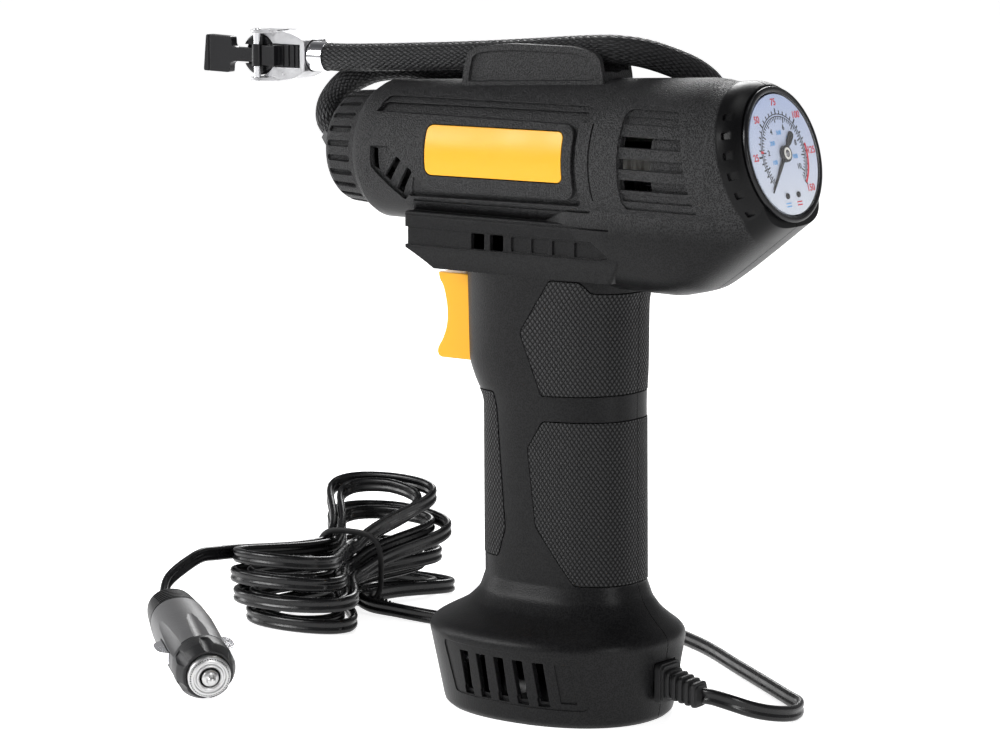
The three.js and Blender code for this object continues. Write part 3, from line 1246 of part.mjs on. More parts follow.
function buildPlug() {
  const group = plugGroup();
  const o = vec(0, 0, 0);
  const capBack = -4.6;
  const noseFront = -3;
  const noseBack = -13.5;
  add('plug_cap', revolve([
    [3.6, capBack], [7.4, capBack], [7.4, -0.8], [6.8, 0], [5, 0], [3.6, -0.8], [3.6, capBack],
  ], o, Z, 18), chrome, group);
  add('plug_nose', revolve([
    [3.6, noseBack], [plugR - 0.6, noseBack], [plugR, noseBack + 1.4], [plugR, -7], [8.6, noseFront],
    [7.7, noseFront], [7.7, capBack - gap], [3.6, capBack - gap], [3.6, noseBack],
  ], o, Z, 18), greyPlastic, group);
  add('plug_tip', join(
    rod(vec(0, 0, noseBack - 4), vec(0, 0, 1.2), 3, 20),
    rod(vec(0, 0, 1.1), vec(0, 0, 3.2), 2.4, 20, 1.6)), chrome, group);

  const bodyFront = noseBack - gap;
  const places = [
    [-plugLength, 6.6, 6.2], [-plugLength + 2, 8.2, 7.4], [-48, 9.8, 9.2], [-36, plugR, 10],
    [-20, plugR, plugR], [bodyFront, plugR - 0.4, plugR - 0.4]];
  const outer = loft(places.map(([z, a, b]) => superRing(a, b, 2.2, 16, (p, q) => vec(p, q, z))));
  const chamber = rod(vec(0, 0, bodyFront - 9), vec(0, 0, bodyFront + 5), 3.6, 16);
  const flute = (degrees) => {
    const a = degrees * Math.PI / 180;
    const r = plugR + 1.2;
    return rod(vec(r * Math.cos(a), r * Math.sin(a), -34), vec(r * Math.cos(a), r * Math.sin(a), 5), 2.6, 8);
  };
  const windowHalf = 4.2;
  const windows = box(-20, 20, -2.6, 2.6, -24 - windowHalf * 1.6, -24 + windowHalf * 1.6);
  const core = box(-5.2, 5.2, -5.2, 5.2, -60, bodyFront);
  const body = cut(outer, chamber, flute(45), flute(135), flute(225), flute(315), cut(windows, core));
  add('plug_body', body, greyPlastic, group);
  [-1, 1].forEach((side) => {
    const inner = 5.2 + contactTravel + gap;
    const outline = [
      [inner, -29.6], [plugR + 0.2, -29.6], [plugR + 3.6, -27], [plugR + 3.6, -20.6], [plugR + 0.2, -18.4],
      [inner, -18.4],
    ];
    const prism = new THREE.ExtrudeGeometry(shapeOf(outline.map(([a, b]) => [side * a, b])),
      { depth: 4.4, bevelEnabled: false });
    prism.rotateX(Math.PI / 2);
    prism.translate(0, 2.2, 0);
    add(side < 0 ? 'plug_contact_left' : 'plug_contact_right', solid(prism), chrome, group);
  });
}

buildHousing();
buildPanels();
buildGrips();
buildNose();
buildGauge();
buildMotor();
buildGearTrain();
buildPump();
buildTrigger();
buildWires();
buildHose();
buildChuck();
buildScrews();
buildStrainRelief();
buildCord();
buildPlug();
export default root;
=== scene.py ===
# Portable tire inflator: the visual model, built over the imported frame. Helpers work in millimetres,
# in the frame's own axes: +X along the barrel towards the gauge, +Z up, -Y the side seen in the photograph.
import json
import math

import bmesh
import bpy
import numpy as np
from mathutils import Matrix, Vector


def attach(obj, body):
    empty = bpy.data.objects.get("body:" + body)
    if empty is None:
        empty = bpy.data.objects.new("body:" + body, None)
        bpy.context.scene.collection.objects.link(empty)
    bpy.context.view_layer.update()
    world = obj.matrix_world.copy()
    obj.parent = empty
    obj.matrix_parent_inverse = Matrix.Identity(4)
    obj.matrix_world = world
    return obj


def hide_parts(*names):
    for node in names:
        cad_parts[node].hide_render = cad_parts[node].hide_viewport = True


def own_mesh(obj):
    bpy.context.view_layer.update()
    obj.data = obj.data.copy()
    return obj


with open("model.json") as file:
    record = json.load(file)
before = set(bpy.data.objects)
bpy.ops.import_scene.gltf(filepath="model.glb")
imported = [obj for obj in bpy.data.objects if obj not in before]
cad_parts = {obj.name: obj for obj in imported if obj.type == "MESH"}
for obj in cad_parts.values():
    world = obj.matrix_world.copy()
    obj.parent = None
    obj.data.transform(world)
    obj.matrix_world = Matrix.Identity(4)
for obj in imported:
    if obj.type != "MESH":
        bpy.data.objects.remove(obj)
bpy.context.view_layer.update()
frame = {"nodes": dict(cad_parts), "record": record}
MM = 0.001
GAP = 0.3

# ---------------------------------------------------------------- sizes shared with the frame
NOSE_X, NOSE_Z, NOSE_R = -69.0, 184.0, 22.0
FRONT_EDGE, FRONT_R = 2.6, 23.2
REAR_X, REAR_Z, REAR_R = 60.0, 187.0, 26.7
GAUGE = Vector((86.3, 0, 190.8))
TILT = math.radians(15)
BEZEL_R, DIAL_R, BEZEL_LIP, DIAL_DEPTH, LENS_RISE = 22.0, 19.5, 1.2, 0.5, 2.4
CASE_R, CASE_DEPTH, BAND_DEPTH, BAND_R, MOUTH_R = 21.3, 15.0, 9.2, 25.6, 23.0
NEEDLE_ZERO = math.radians(225)
AXIS = Vector((math.cos(TILT), 0, math.sin(TILT)))
UP = Vector((-math.sin(TILT), 0, math.cos(TILT)))
NECK_HALF, NECK_X, NECK_REAR, NECK_TOP, NECK_LEDGE, NECK_BOTTOM = 19.5, -49.3, 40.0, 165.5, 153.4, 146.8
GRIP_HALF = 18.0
HOSE_R = 4.8
CORD_W, CORD_T = 5.4, 2.7
CORD_Z = CORD_W / 2 + 0.1
PLUG_R, PLUG_LENGTH = 10.4, 64.0
PLUG_FACE = Vector((-93.5, -70, 9.6))
PLUG_TILT, PLUG_HEADING = math.radians(10.5), math.radians(-37.5)
PLUG_AXIS = Vector((math.cos(PLUG_TILT) * math.cos(PLUG_HEADING),
                    math.cos(PLUG_TILT) * math.sin(PLUG_HEADING), -math.sin(PLUG_TILT)))
CHUCK_Z = 213.6
CRADLE_FRONT, CRADLE_REAR, CRADLE_TOP = -33.0, 23.0, 222.0
SCREWS = ((-60, 170.6), (66, 164), (-5.5, 80), (-30, 14))
FAR = 60.0


# ---------------------------------------------------------------- camera and light
# The focal length is in pixels, and the distance in metres from the middle of the foot.
IMAGE_SIZE = (1000, 750)
FOOT_PIXEL = (558.0, 703.5)
FOCAL, SENSOR, DISTANCE = 3860.0, 36, 1.305
PITCH, AZIMUTH = math.radians(9.1), math.radians(35)
SKY_LOW, SKY_HIGH = (0.34, 0.34, 0.345, 1), (0.09, 0.09, 0.095, 1)


def camera():
    """The view of the photograph: the middle of the foot lands on its pixel."""
    flat = math.cos(PITCH)
    back = Vector((math.sin(AZIMUTH) * flat, -math.cos(AZIMUTH) * flat, math.sin(PITCH)))
    right = Vector((math.cos(AZIMUTH), math.sin(AZIMUTH), 0))
    up = back.cross(right)
    across = (FOOT_PIXEL[0] - IMAGE_SIZE[0] / 2) / FOCAL
    down = (FOOT_PIXEL[1] - IMAGE_SIZE[1] / 2) / FOCAL
    ray = right * across - up * down - back
    data = bpy.data.cameras.new("camera")
    data.sensor_width = SENSOR
    data.lens = FOCAL * SENSOR / IMAGE_SIZE[0]
    data.clip_end = 30
    item = bpy.data.objects.new("camera", data)
    turn = Matrix((right, up, back)).transposed().to_4x4()
    item.matrix_world = Matrix.Translation(-ray.normalized() * DISTANCE) @ turn
    bpy.context.scene.collection.objects.link(item)
    bpy.context.scene.camera = item


def area(name, place, target, size, power):
    """A soft box: places and sizes in metres, power in watts."""
    data = bpy.data.lights.new(name, "AREA")
    data.shape = "RECTANGLE"
    data.size, data.size_y = size
    data.energy = power
    item = bpy.data.objects.new(name, data)
    item.location = place
    item.rotation_euler = (Vector(target) - Vector(place)).to_track_quat("-Z", "Y").to_euler()
    bpy.context.scene.collection.objects.link(item)


def studio():
    """White behind the object, a dimmer sky for its reflections, and soft boxes for the highlights."""
    world = bpy.data.worlds.new("studio")
    world.use_nodes = True
    tree = world.node_tree
    sky = tree.nodes["Background"]
    kinds = ("Background", "TexCoord", "SeparateXYZ", "ValToRGB", "LightPath", "MixShader")
    white, coords, split, ramp, path, mix = [tree.nodes.new("ShaderNode" + kind) for kind in kinds]
    for stop, position, color in zip(ramp.color_ramp.elements, (0.45, 0.8), (SKY_LOW, SKY_HIGH)):
        stop.position = position
        stop.color = color
    white.inputs["Color"].default_value = (1, 1, 1, 1)
    for source, socket in (
            (coords.outputs["Generated"], split.inputs[0]), (split.outputs["Z"], ramp.inputs[0]),
            (ramp.outputs[0], sky.inputs["Color"]), (path.outputs["Is Camera Ray"], mix.inputs[0]),
            (sky.outputs[0], mix.inputs[1]), (white.outputs[0], mix.inputs[2]),
            (mix.outputs[0], tree.nodes["World Output"].inputs["Surface"])):
        tree.links.new(source, socket)
    bpy.context.scene.world = world
    area("key", (-0.85, -0.95, 0.72), (0, 0, 0.15), (0.4, 0.55), 11)
    area("side", (1.2, -0.55, 0.5), (0, 0, 0.14), (0.25, 0.6), 5)
    area("top", (0.0, 0.1, 1.3), (0, 0, 0.1), (0.5, 0.5), 2)
    area("rim", (-0.6, 1.1, 0.8), (0, 0, 0.12), (0.5, 0.5), 8)
    area("edge", (-1.1, -0.3, 0.4), (0, 0, 0.14), (0.2, 0.7), 4)
    bpy.context.scene.view_settings.view_transform = "Standard"


# ---------------------------------------------------------------- meshes
def link(name, mesh):
    item = bpy.data.objects.new(name, mesh)
    bpy.context.scene.collection.objects.link(item)
    return item


def solid(name, verts, faces):
    mesh = bpy.data.meshes.new(name)
    mesh.from_pydata([(v[0] * MM, v[1] * MM, v[2] * MM) for v in verts], [], faces)
    work = bmesh.new()
    work.from_mesh(mesh)
    bmesh.ops.recalc_face_normals(work, faces=work.faces)
    work.to_mesh(mesh)
    work.free()
    return link(name, mesh)


def loft(name, rings):
    count = len(rings[0])
    verts = [tuple(p) for ring in rings for p in ring]
    faces = []
    for i in range(len(rings) - 1):
        for j in range(count):
            k = (j + 1) % count
            a, b = i * count, (i + 1) * count
            faces.append((a + j, a + k, b + k, b + j))
    faces.append(tuple(reversed(range(count))))
    faces.append(tuple(range(len(verts) - count, len(verts))))
    return solid(name, verts, faces)


def prism(name, outline, low, high, plane="XZ"):
    def place(a, b, h):
        return {"XZ": (a, h, b), "XY": (a, b, h), "YZ": (h, a, b)}[plane]
    return loft(name, [[place(a, b, low) for a, b in outline], [place(a, b, high) for a, b in outline]])


def box(name, x0, x1, y0, y1, z0, z1):
    return prism(name, [(x0, y0), (x1, y0), (x1, y1), (x0, y1)], z0, z1, "XY")


def basis(axis):
    """Two directions square to an axis, and the axis itself."""
    axis = Vector(axis).normalized()
    side = Vector((0, 0, 1)) if abs(axis.z) < 0.9 else Vector((1, 0, 0))
    u = axis.cross(side).normalized()
    return u, axis.cross(u).normalized(), axis


def revolve(name, profile, origin, axis, sides=64):
    """A profile of (radius, height) points turned about an axis; it closes on itself or on the axis."""
    u, v, w = basis(axis)
    origin = Vector(origin)
    verts, rows = [], []
    closed = profile[0] == profile[-1]
    points = profile[:-1] if closed else profile
    for r, h in points:
        if r < 1e-6:
            rows.append([len(verts)])
            verts.append(origin + w * h)
            continue
        rows.append(list(range(len(verts), len(verts) + sides)))
        for i in range(sides):
            a = 2 * math.pi * i / sides
            verts.append(origin + u * (r * math.cos(a)) + v * (r * math.sin(a)) + w * h)
    faces = []
    pairs = list(zip(rows, rows[1:])) + ([(rows[-1], rows[0])] if closed else [])
    for a, b in pairs:
        for i in range(sides):
            k = (i + 1) % sides
            if len(a) == 1 and len(b) == 1:
                continue
            if len(a) == 1:
                faces.append((a[0], b[k], b[i]))
            elif len(b) == 1:
                faces.append((a[i], a[k], b[0]))
            else:
                faces.append((a[i], a[k], b[k], b[i]))
    if not closed:
        for row in (rows[0], rows[-1]):
            if len(row) > 1:
                faces.append(tuple(row))
    return solid(name, verts, faces)


def rod(name, start, end, radius, sides=32, end_radius=None):
    start, end = Vector(start), Vector(end)
    tip = radius if end_radius is None else end_radius
    return revolve(name, [(radius, 0), (tip, (end - start).length)], start, end - start, sides)


def bake(item):
    """Applies an item's modifiers to its mesh."""
    graph = bpy.context.evaluated_depsgraph_get()
    mesh = bpy.data.meshes.new_from_object(item.evaluated_get(graph))
    old = item.data
    item.modifiers.clear()
    item.data = mesh
    bpy.data.meshes.remove(old)


def combine(item, tools, operation="DIFFERENCE"):
    """Cuts or joins solids, which are used up."""
    for tool in tools if isinstance(tools, (list, tuple)) else [tools]:
        mod = item.modifiers.new("cut", "BOOLEAN")
        mod.object, mod.operation, mod.solver = tool, operation, "MANIFOLD"
        bake(item)
        bpy.data.objects.remove(tool)
    return item


def merged(name, items):
    """Several meshes in one object, without joining their surfaces."""
    work = bmesh.new()
    for item in items:
        work.from_mesh(item.data)
        bpy.data.objects.remove(item)
    mesh = bpy.data.meshes.new(name)
    work.to_mesh(mesh)
    work.free()
    return link(name, mesh)


def shade(item, angle=32, bevel=0.0, segments=2, weighted=True):
    """Smooth shading with sharp edges above an angle, after an optional bevel."""
    if bevel:
        mod = item.modifiers.new("edge", "BEVEL")
        mod.width, mod.segments, mod.limit_method = bevel * MM, segments, "ANGLE"
        mod.angle_limit = math.radians(28)
        bake(item)
    item.data.shade_smooth()
    item.data.set_sharp_from_angle(angle=math.radians(angle))
    if weighted:
        mod = item.modifiers.new("normals", "WEIGHTED_NORMAL")
        mod.keep_sharp = True
    return item


def super_ring(half_a, half_b, exponent, count, place):
    """A superellipse, whose points go through place(a, b)."""
    ring = []
    for i in range(count):
        angle = 2 * math.pi * (i + 0.5) / count
        c, s = math.cos(angle), math.sin(angle)
        ring.append(place(half_a * math.copysign(abs(c) ** (2 / exponent), c),
                          half_b * math.copysign(abs(s) ** (2 / exponent), s)))
    return ring


def curve(points, per=8):
    """Centripetal Catmull-Rom through given points."""
    p = [Vector(q) for q in points]
    p = [p[0] * 2 - p[1]] + p + [p[-1] * 2 - p[-2]]
    out = []
    for i in range(1, len(p) - 2):
        a, b, c, d = p[i - 1:i + 3]
        t0 = 0.0
        t1 = t0 + max((b - a).length, 1e-6) ** 0.5
        t2 = t1 + max((c - b).length, 1e-6) ** 0.5
        t3 = t2 + max((d - c).length, 1e-6) ** 0.5
        for k in range(per):
            t = t1 + (t2 - t1) * k / per
            a1 = a * ((t1 - t) / (t1 - t0)) + b * ((t - t0) / (t1 - t0))
            a2 = b * ((t2 - t) / (t2 - t1)) + c * ((t - t1) / (t2 - t1))
            a3 = c * ((t3 - t) / (t3 - t2)) + d * ((t - t2) / (t3 - t2))
            b1 = a1 * ((t2 - t) / (t2 - t0)) + a2 * ((t - t0) / (t2 - t0))
            b2 = a2 * ((t3 - t) / (t3 - t1)) + a3 * ((t - t1) / (t3 - t1))
            out.append(b1 * ((t2 - t) / (t2 - t1)) + b2 * ((t - t1) / (t2 - t1)))
    out.append(p[-2])
    return out


def even(points, step):
    """The same line with points at even steps."""
    p = np.array([tuple(q) for q in points])
    s = np.concatenate([[0], np.cumsum(np.linalg.norm(np.diff(p, axis=0), axis=1))])
    at = np.linspace(0, s[-1], max(2, int(round(s[-1] / step)) + 1))
    return [Vector(q) for q in zip(*[np.interp(at, s, p[:, k]) for k in range(3)])]


def line_length(points):
    return sum((b - a).length for a, b in zip(points, points[1:]))


def sweep(name, points, section, upright=False):
    """A closed section carried along a line, with a UV of (turn round, millimetres along)."""
    count = len(section)
    verts, along = [], [0.0]
    for a, b in zip(points, points[1:]):
        along.append(along[-1] + (b - a).length)
    side = None
    for i, p in enumerate(points):
        heading = (points[min(i + 1, len(points) - 1)] - points[max(i - 1, 0)]).normalized()
        if upright:
            side = Vector((0, 0, 1)).cross(heading).normalized()
        elif side is None:
            side = basis(heading)[0]
        else:
            side = (side - heading * side.dot(heading)).normalized()
        up = heading.cross(side)
        verts += [p + side * a + up * b for a, b in section]
    faces = []
    for i in range(len(points) - 1):
        for j in range(count):
            k = (j + 1) % count
            faces.append((i * count + j, i * count + k, (i + 1) * count + k, (i + 1) * count + j))
    faces.append(tuple(reversed(range(count))))
    faces.append(tuple(range(len(verts) - count, len(verts))))
    mesh = bpy.data.meshes.new(name)
    mesh.from_pydata([tuple(v * MM) for v in verts], [], faces)
    layer = mesh.uv_layers.new(name="UVMap")
    for face in mesh.polygons:
        corners = list(face.loop_indices)
        rows = [mesh.loops[n].vertex_index % count for n in corners]
        wraps = max(rows) - min(rows) > 1 and len(rows) == 4
        for n, row in zip(corners, rows):
            i = mesh.loops[n].vertex_index // count
            layer.data[n].uv = ((count if wraps and row == 0 else row) / count, along[i])
    return link(name, mesh)


def circle(radius, sides):
    return [(radius * math.cos(2 * math.pi * i / sides), radius * math.sin(2 * math.pi * i / sides))
            for i in range(sides)]


def twin_section():
    """Two round cores side by side, joined by a thin web, wide side along the second axis."""
    r = CORD_T / 2
    offset = CORD_W / 2 - r
    points = []
    for side, start in ((1, -52), (-1, 128)):
        for i in range(11):
            a = math.radians(start + 284 * i / 10)
            points.append((r * math.cos(a), side * offset + r * math.sin(a)))
    return points


def smooth_table(rows, step, sigma):
    """Rows of (position, values...) sampled finely with their corners softened."""
    rows = np.array(rows, float)
    at = np.arange(rows[0, 0], rows[-1, 0] + step / 2, step)
    at[-1] = rows[-1, 0]
    fine = np.linspace(-3, 3, 25)
    weight = np.exp(-fine ** 2 / 2)
    weight /= weight.sum()
    out = [at]
    for k in range(1, rows.shape[1]):
        edge = np.minimum(1, np.minimum(at - rows[0, 0], rows[-1, 0] - at) / (3 * sigma + 1e-9))
        near = [w * np.interp(at + f * sigma * edge, rows[:, 0], rows[:, k]) for f, w in zip(fine, weight)]
        out.append(sum(near))
    return np.array(out).T


def rounded(x0, x1, z0, z1, r, steps=6):
    """A rectangle with round corners."""
    points = []
    corners = ((x1 - r, z1 - r), (x0 + r, z1 - r), (x0 + r, z0 + r), (x1 - r, z0 + r))
    for quarter, (x, z) in enumerate(corners):
        for i in range(steps + 1):
            a = math.radians(90 * quarter + 90 * i / steps)
            points.append((x + r * math.cos(a), z + r * math.sin(a)))
    return points


def soften(outline, r, steps=4):
    """Rounds the corners of an outline; r is one radius or one for each corner."""
    out = []
    count = len(outline)
    radii = r if isinstance(r, (list, tuple)) else [r] * count
    for i, p in enumerate(outline):
        p = Vector(p)
        a, b = Vector(outline[i - 1]), Vector(outline[(i + 1) % count])
        reach = min(radii[i], (a - p).length * 0.45, (b - p).length * 0.45)
        if reach < 0.05:
            out.append(tuple(p))
            continue
        start, end = p + (a - p).normalized() * reach, p + (b - p).normalized() * reach
        for k in range(steps + 1):
            t = k / steps
            q = start * (1 - t) ** 2 + p * (2 * t * (1 - t)) + end * t ** 2
            out.append((q.x, q.y))
    return out


def shrink(points, margin):
    """The outline drawn in by a margin along every edge."""
    count = len(points)
    turn = sum(points[i][0] * points[(i + 1) % count][1] - points[(i + 1) % count][0] * points[i][1]
               for i in range(count))
    side = math.copysign(1, turn)
    out = []
    for i, p in enumerate(points):
        before, after = points[i - 1], points[(i + 1) % count]
        a = math.atan2(p[1] - before[1], p[0] - before[0])
        b = math.atan2(after[1] - p[1], after[0] - p[0])
        middle = math.atan2(math.sin(a) + math.sin(b), math.cos(a) + math.cos(b)) + side * math.pi / 2
        half = math.atan2(math.sin(b - a), math.cos(b - a)) / 2
        reach = margin / max(math.cos(half), 0.3)
        out.append((p[0] + reach * math.cos(middle), p[1] + reach * math.sin(middle)))
    return out


# ---------------------------------------------------------------- materials
class Shader:
    """A Principled material with small helpers for its procedural nodes."""

    def __init__(self, name, color, roughness, metallic=0.0, **sockets):
        self.material = bpy.data.materials.new(name)
        self.material.use_nodes = True
        self.tree = self.material.node_tree
        self.bsdf = self.tree.nodes["Principled BSDF"]
        self.bsdf.inputs["Base Color"].default_value = (*color, 1)
        self.bsdf.inputs["Roughness"].default_value = roughness
        self.bsdf.inputs["Metallic"].default_value = metallic
        for key, value in sockets.items():
            self.bsdf.inputs[key.replace("_", " ")].default_value = value
        self.material.diffuse_color = (*color, 1)

    def node(self, kind, settings=None, **inputs):
        node = self.tree.nodes.new("ShaderNode" + kind)
        for key, value in (settings or {}).items():
            setattr(node, key, value)
        for key, value in inputs.items():
            socket = node.inputs[int(key[1:]) if key[1:].isdigit() else key.replace("_", " ")]
            if isinstance(value, bpy.types.NodeSocket):
                self.tree.links.new(value, socket)
            else:
                socket.default_value = value
        return node

    def math(self, operation, a, b=None):
        values = {"i0": a} if b is None else {"i0": a, "i1": b}
        return self.node("Math", {"operation": operation}, **values).outputs[0]

    def times(self, a, b):
        return self.math("MULTIPLY", a, b)

    def plus(self, a, b):
        return self.math("ADD", a, b)

    def minus(self, a, b):
        return self.math("SUBTRACT", a, b)

    def sine(self, value, factor):
        return self.math("SINE", self.times(value, factor))

    def place(self):
        return self.node("TexCoord").outputs["Object"]

    def distance_along(self, axis, vector=None):
        """How far a point lies along a direction, in metres."""
        kind = {"operation": "DOT_PRODUCT"}
        return self.node("VectorMath", kind, i0=vector or self.place(), i1=tuple(axis)).outputs["Value"]

    def noise(self, scale, detail=2.0):
        return self.node("TexNoise", Vector=self.place(), Scale=scale, Detail=detail).outputs[0]

    def spread(self, value, low, high, to_low, to_high):
        return self.node("MapRange", Value=value, From_Min=low, From_Max=high, To_Min=to_low,
                         To_Max=to_high).outputs[0]

    def tint(self, factor, a, b):
        ramp = self.node("ValToRGB", Fac=factor)
        ramp.color_ramp.elements[0].color = (*a, 1)
        ramp.color_ramp.elements[1].color = (*b, 1)
        self.tree.links.new(ramp.outputs[0], self.bsdf.inputs["Base Color"])

    def rough(self, value):
        self.tree.links.new(value, self.bsdf.inputs["Roughness"])

    def uneven(self, scale, detail, low, high):
        """Roughness that wanders between two values."""
        self.rough(self.spread(self.noise(scale, detail), 0.3, 0.7, low, high))

    def bump(self, height, strength, distance, edge=None):
        """Relief of a height in millimetres, over edges rounded by a radius in millimetres."""
        node = self.node("Bump", Height=height, Strength=strength, Distance=distance * MM)
        if edge:
            round_edge = self.node("Bevel", {"samples": 4}, Radius=edge * MM)
            self.tree.links.new(round_edge.outputs[0], node.inputs["Normal"])
        self.tree.links.new(node.outputs[0], self.bsdf.inputs["Normal"])


def housing_material():
    """Black moulding: sandblasted grain on the barrel, smooth round the gauge, finer below; the grain's
    specks carry a painted sparkle.
    """
    s = Shader("black_grain", (0.006, 0.006, 0.0065), 0.42, Specular_IOR_Level=0.15)
    place = s.place()
    grain = s.node("TexVoronoi", Vector=place, Scale=1900).outputs["Distance"]
    speck = s.plus(s.times(grain, 0.9), s.times(s.noise(2600, 1), 0.5))
    depth = s.minus(GAUGE.dot(AXIS) * MM, s.distance_along(AXIS, place))
    band = s.spread(depth, 0.0088, 0.0098, 0.05, 1.0)
    height = s.node("SeparateXYZ", Vector=place).outputs["Z"]
    amount = s.times(band, s.spread(height, 0.163, 0.171, 0.22, 1.0))
    painted_sparkle = s.times(s.spread(speck, 0.46, 0.86, 0.0, 1.0), amount)
    s.rough(s.spread(painted_sparkle, 0.0, 1.0, 0.36, 0.6))
    # Painted sparkle: the grain's specks get a lighter base colour that stands in for highlights on their
    # tops.
    s.tint(painted_sparkle, (0.0015, 0.0015, 0.0018), (0.034, 0.034, 0.035))
    s.bump(s.times(speck, amount), 1.0, 0.22, 0.35)
    return s.material


def plain_plastic(name, color, rough, edge=0.25, grain=0.08):
    s = Shader(name, color, rough, Specular_IOR_Level=0.28)
    s.uneven(90, 3, rough - 0.03, rough + 0.05)
    s.bump(s.noise(1800, 2), 0.5, grain, edge)
    return s.material


def plug_material():
    """Grey moulding of the plug, near black on the ribbed end where the cord goes in."""
    s = Shader("grey_plastic", (0.1, 0.1, 0.102), 0.42, Specular_IOR_Level=0.4)
    depth = s.minus(s.distance_along(PLUG_AXIS), PLUG_FACE.dot(PLUG_AXIS) * MM)
    s.tint(s.spread(depth, -0.0497, -0.0493, 0.0, 1.0), (0.007, 0.007, 0.0075), (0.105, 0.105, 0.107))
    s.bump(s.noise(1400, 2), 0.6, 0.14, 0.3)
    return s.material


def knurl_material():
    """Rubber with rows of small raised lozenges, from a UV in millimetres."""
    s = Shader("grip_rubber", (0.014, 0.014, 0.015), 0.6, Specular_IOR_Level=0.18)
    split = s.node("SeparateXYZ", Vector=s.node("TexCoord").outputs["UV"])
    pitch, slope = 1.55, 0.72
    across = s.times(split.outputs["X"], 1.0 / pitch)
    up = s.times(split.outputs["Y"], slope / pitch)
    rows = [s.math("ABSOLUTE", s.sine(line, math.pi)) for line in (s.plus(across, up), s.minus(across, up))]
    cell = s.math("POWER", s.times(*rows), 0.55)
    # Painted shade and highlight: the grooves between the lozenges are darker in colour and their tops
    # lighter.
    s.tint(cell, (0.001, 0.001, 0.001), (0.03, 0.03, 0.031))
    s.rough(s.spread(cell, 0, 1, 0.8, 0.42))
    s.bump(cell, 1.0, 0.6)
    return s.material


def braid_material():
    """Woven sleeve: two sets of flat strands that pass over and under each other."""
    s = Shader("hose_braid", (0.01, 0.01, 0.011), 0.5, Specular_IOR_Level=0.28)
    split = s.node("SeparateXYZ", Vector=s.node("TexCoord").outputs["UV"])
    strands, slope, yarns = 20.0, 0.36, 18.0
    turn = s.times(split.outputs["X"], strands)
    run = s.times(split.outputs["Y"], slope)
    a, b = s.plus(turn, run), s.minus(turn, run)
    part_a, part_b = s.math("FRACT", a), s.math("FRACT", b)
    check = s.math("MODULO", s.math("ABSOLUTE", s.plus(s.math("FLOOR", a), s.math("FLOOR", b))), 2.0)

    def woven(on_top, below):
        return s.plus(s.times(on_top, check), s.times(below, s.minus(1.0, check)))
    round_a, round_b = s.sine(part_a, math.pi), s.sine(part_b, math.pi)
    height = woven(s.times(round_a, s.math("POWER", round_b, 0.35)),
                   s.times(round_b, s.math("POWER", round_a, 0.35)))
    yarn = woven(s.sine(part_b, yarns), s.sine(part_a, yarns))
    # Painted highlight and shade: the strands are lighter in colour where they stand high and darker where
    # they dip under.
    s.tint(height, (0.001, 0.001, 0.001), (0.026, 0.026, 0.028))
    s.rough(s.spread(check, 0, 1, 0.38, 0.6))
    s.bump(s.plus(height, s.times(yarn, 0.08)), 1.0, 0.5)
    return s.material


def cord_material():
    s = Shader("cord_pvc", (0.0035, 0.0035, 0.004), 0.24, Specular_IOR_Level=0.34)
    s.uneven(220, 2, 0.2, 0.34)
    s.bump(s.noise(700, 2), 0.25, 0.06)
    return s.material


def metal_material(name, color, rough, ripple=0.05, scale=900):
    s = Shader(name, color, rough, 1.0)
    s.uneven(scale * 0.4, 3, rough * 0.75, rough * 1.35)
    s.bump(s.noise(scale, 3), 0.4, ripple, 0.2)
    return s.material


def yellow_material():
    s = Shader("yellow_plastic", (0.85, 0.40, 0.016), 0.42, Specular_IOR_Level=0.3)
    s.uneven(70, 2, 0.32, 0.42)
    s.bump(s.noise(1500, 2), 0.3, 0.04, 0.35)
    return s.material


def dial_material():
    """Bluish paint that darkens a little towards the top."""
    s = Shader("dial_paint", (0.72, 0.78, 0.93), 0.45)
    height = s.node("SeparateXYZ", Vector=s.place()).outputs["Z"]
    s.tint(s.spread(height, 0.172, 0.211, 0.0, 1.0), (0.70, 0.74, 0.82), (0.42, 0.50, 0.72))
    return s.material


def ink(name, color):
    return plain_plastic(name, color, 0.45, 0.05, 0.02)


def lens_material():
    s = Shader("lens", (1, 1, 1), 0.04, Alpha=0.035, IOR=1.5)
    s.bump(s.noise(25, 1), 0.05, 0.02)
    return s.material


def paint_floor():
    s = Shader("floor", (0.93, 0.93, 0.93), 0.7)
    s.bsdf.inputs["Emission Color"].default_value = (1, 1, 1, 1)
    s.bsdf.inputs["Emission Strength"].default_value = 0.82
    s.bump(s.noise(40, 2), 0.02, 0.02)
    return s.material


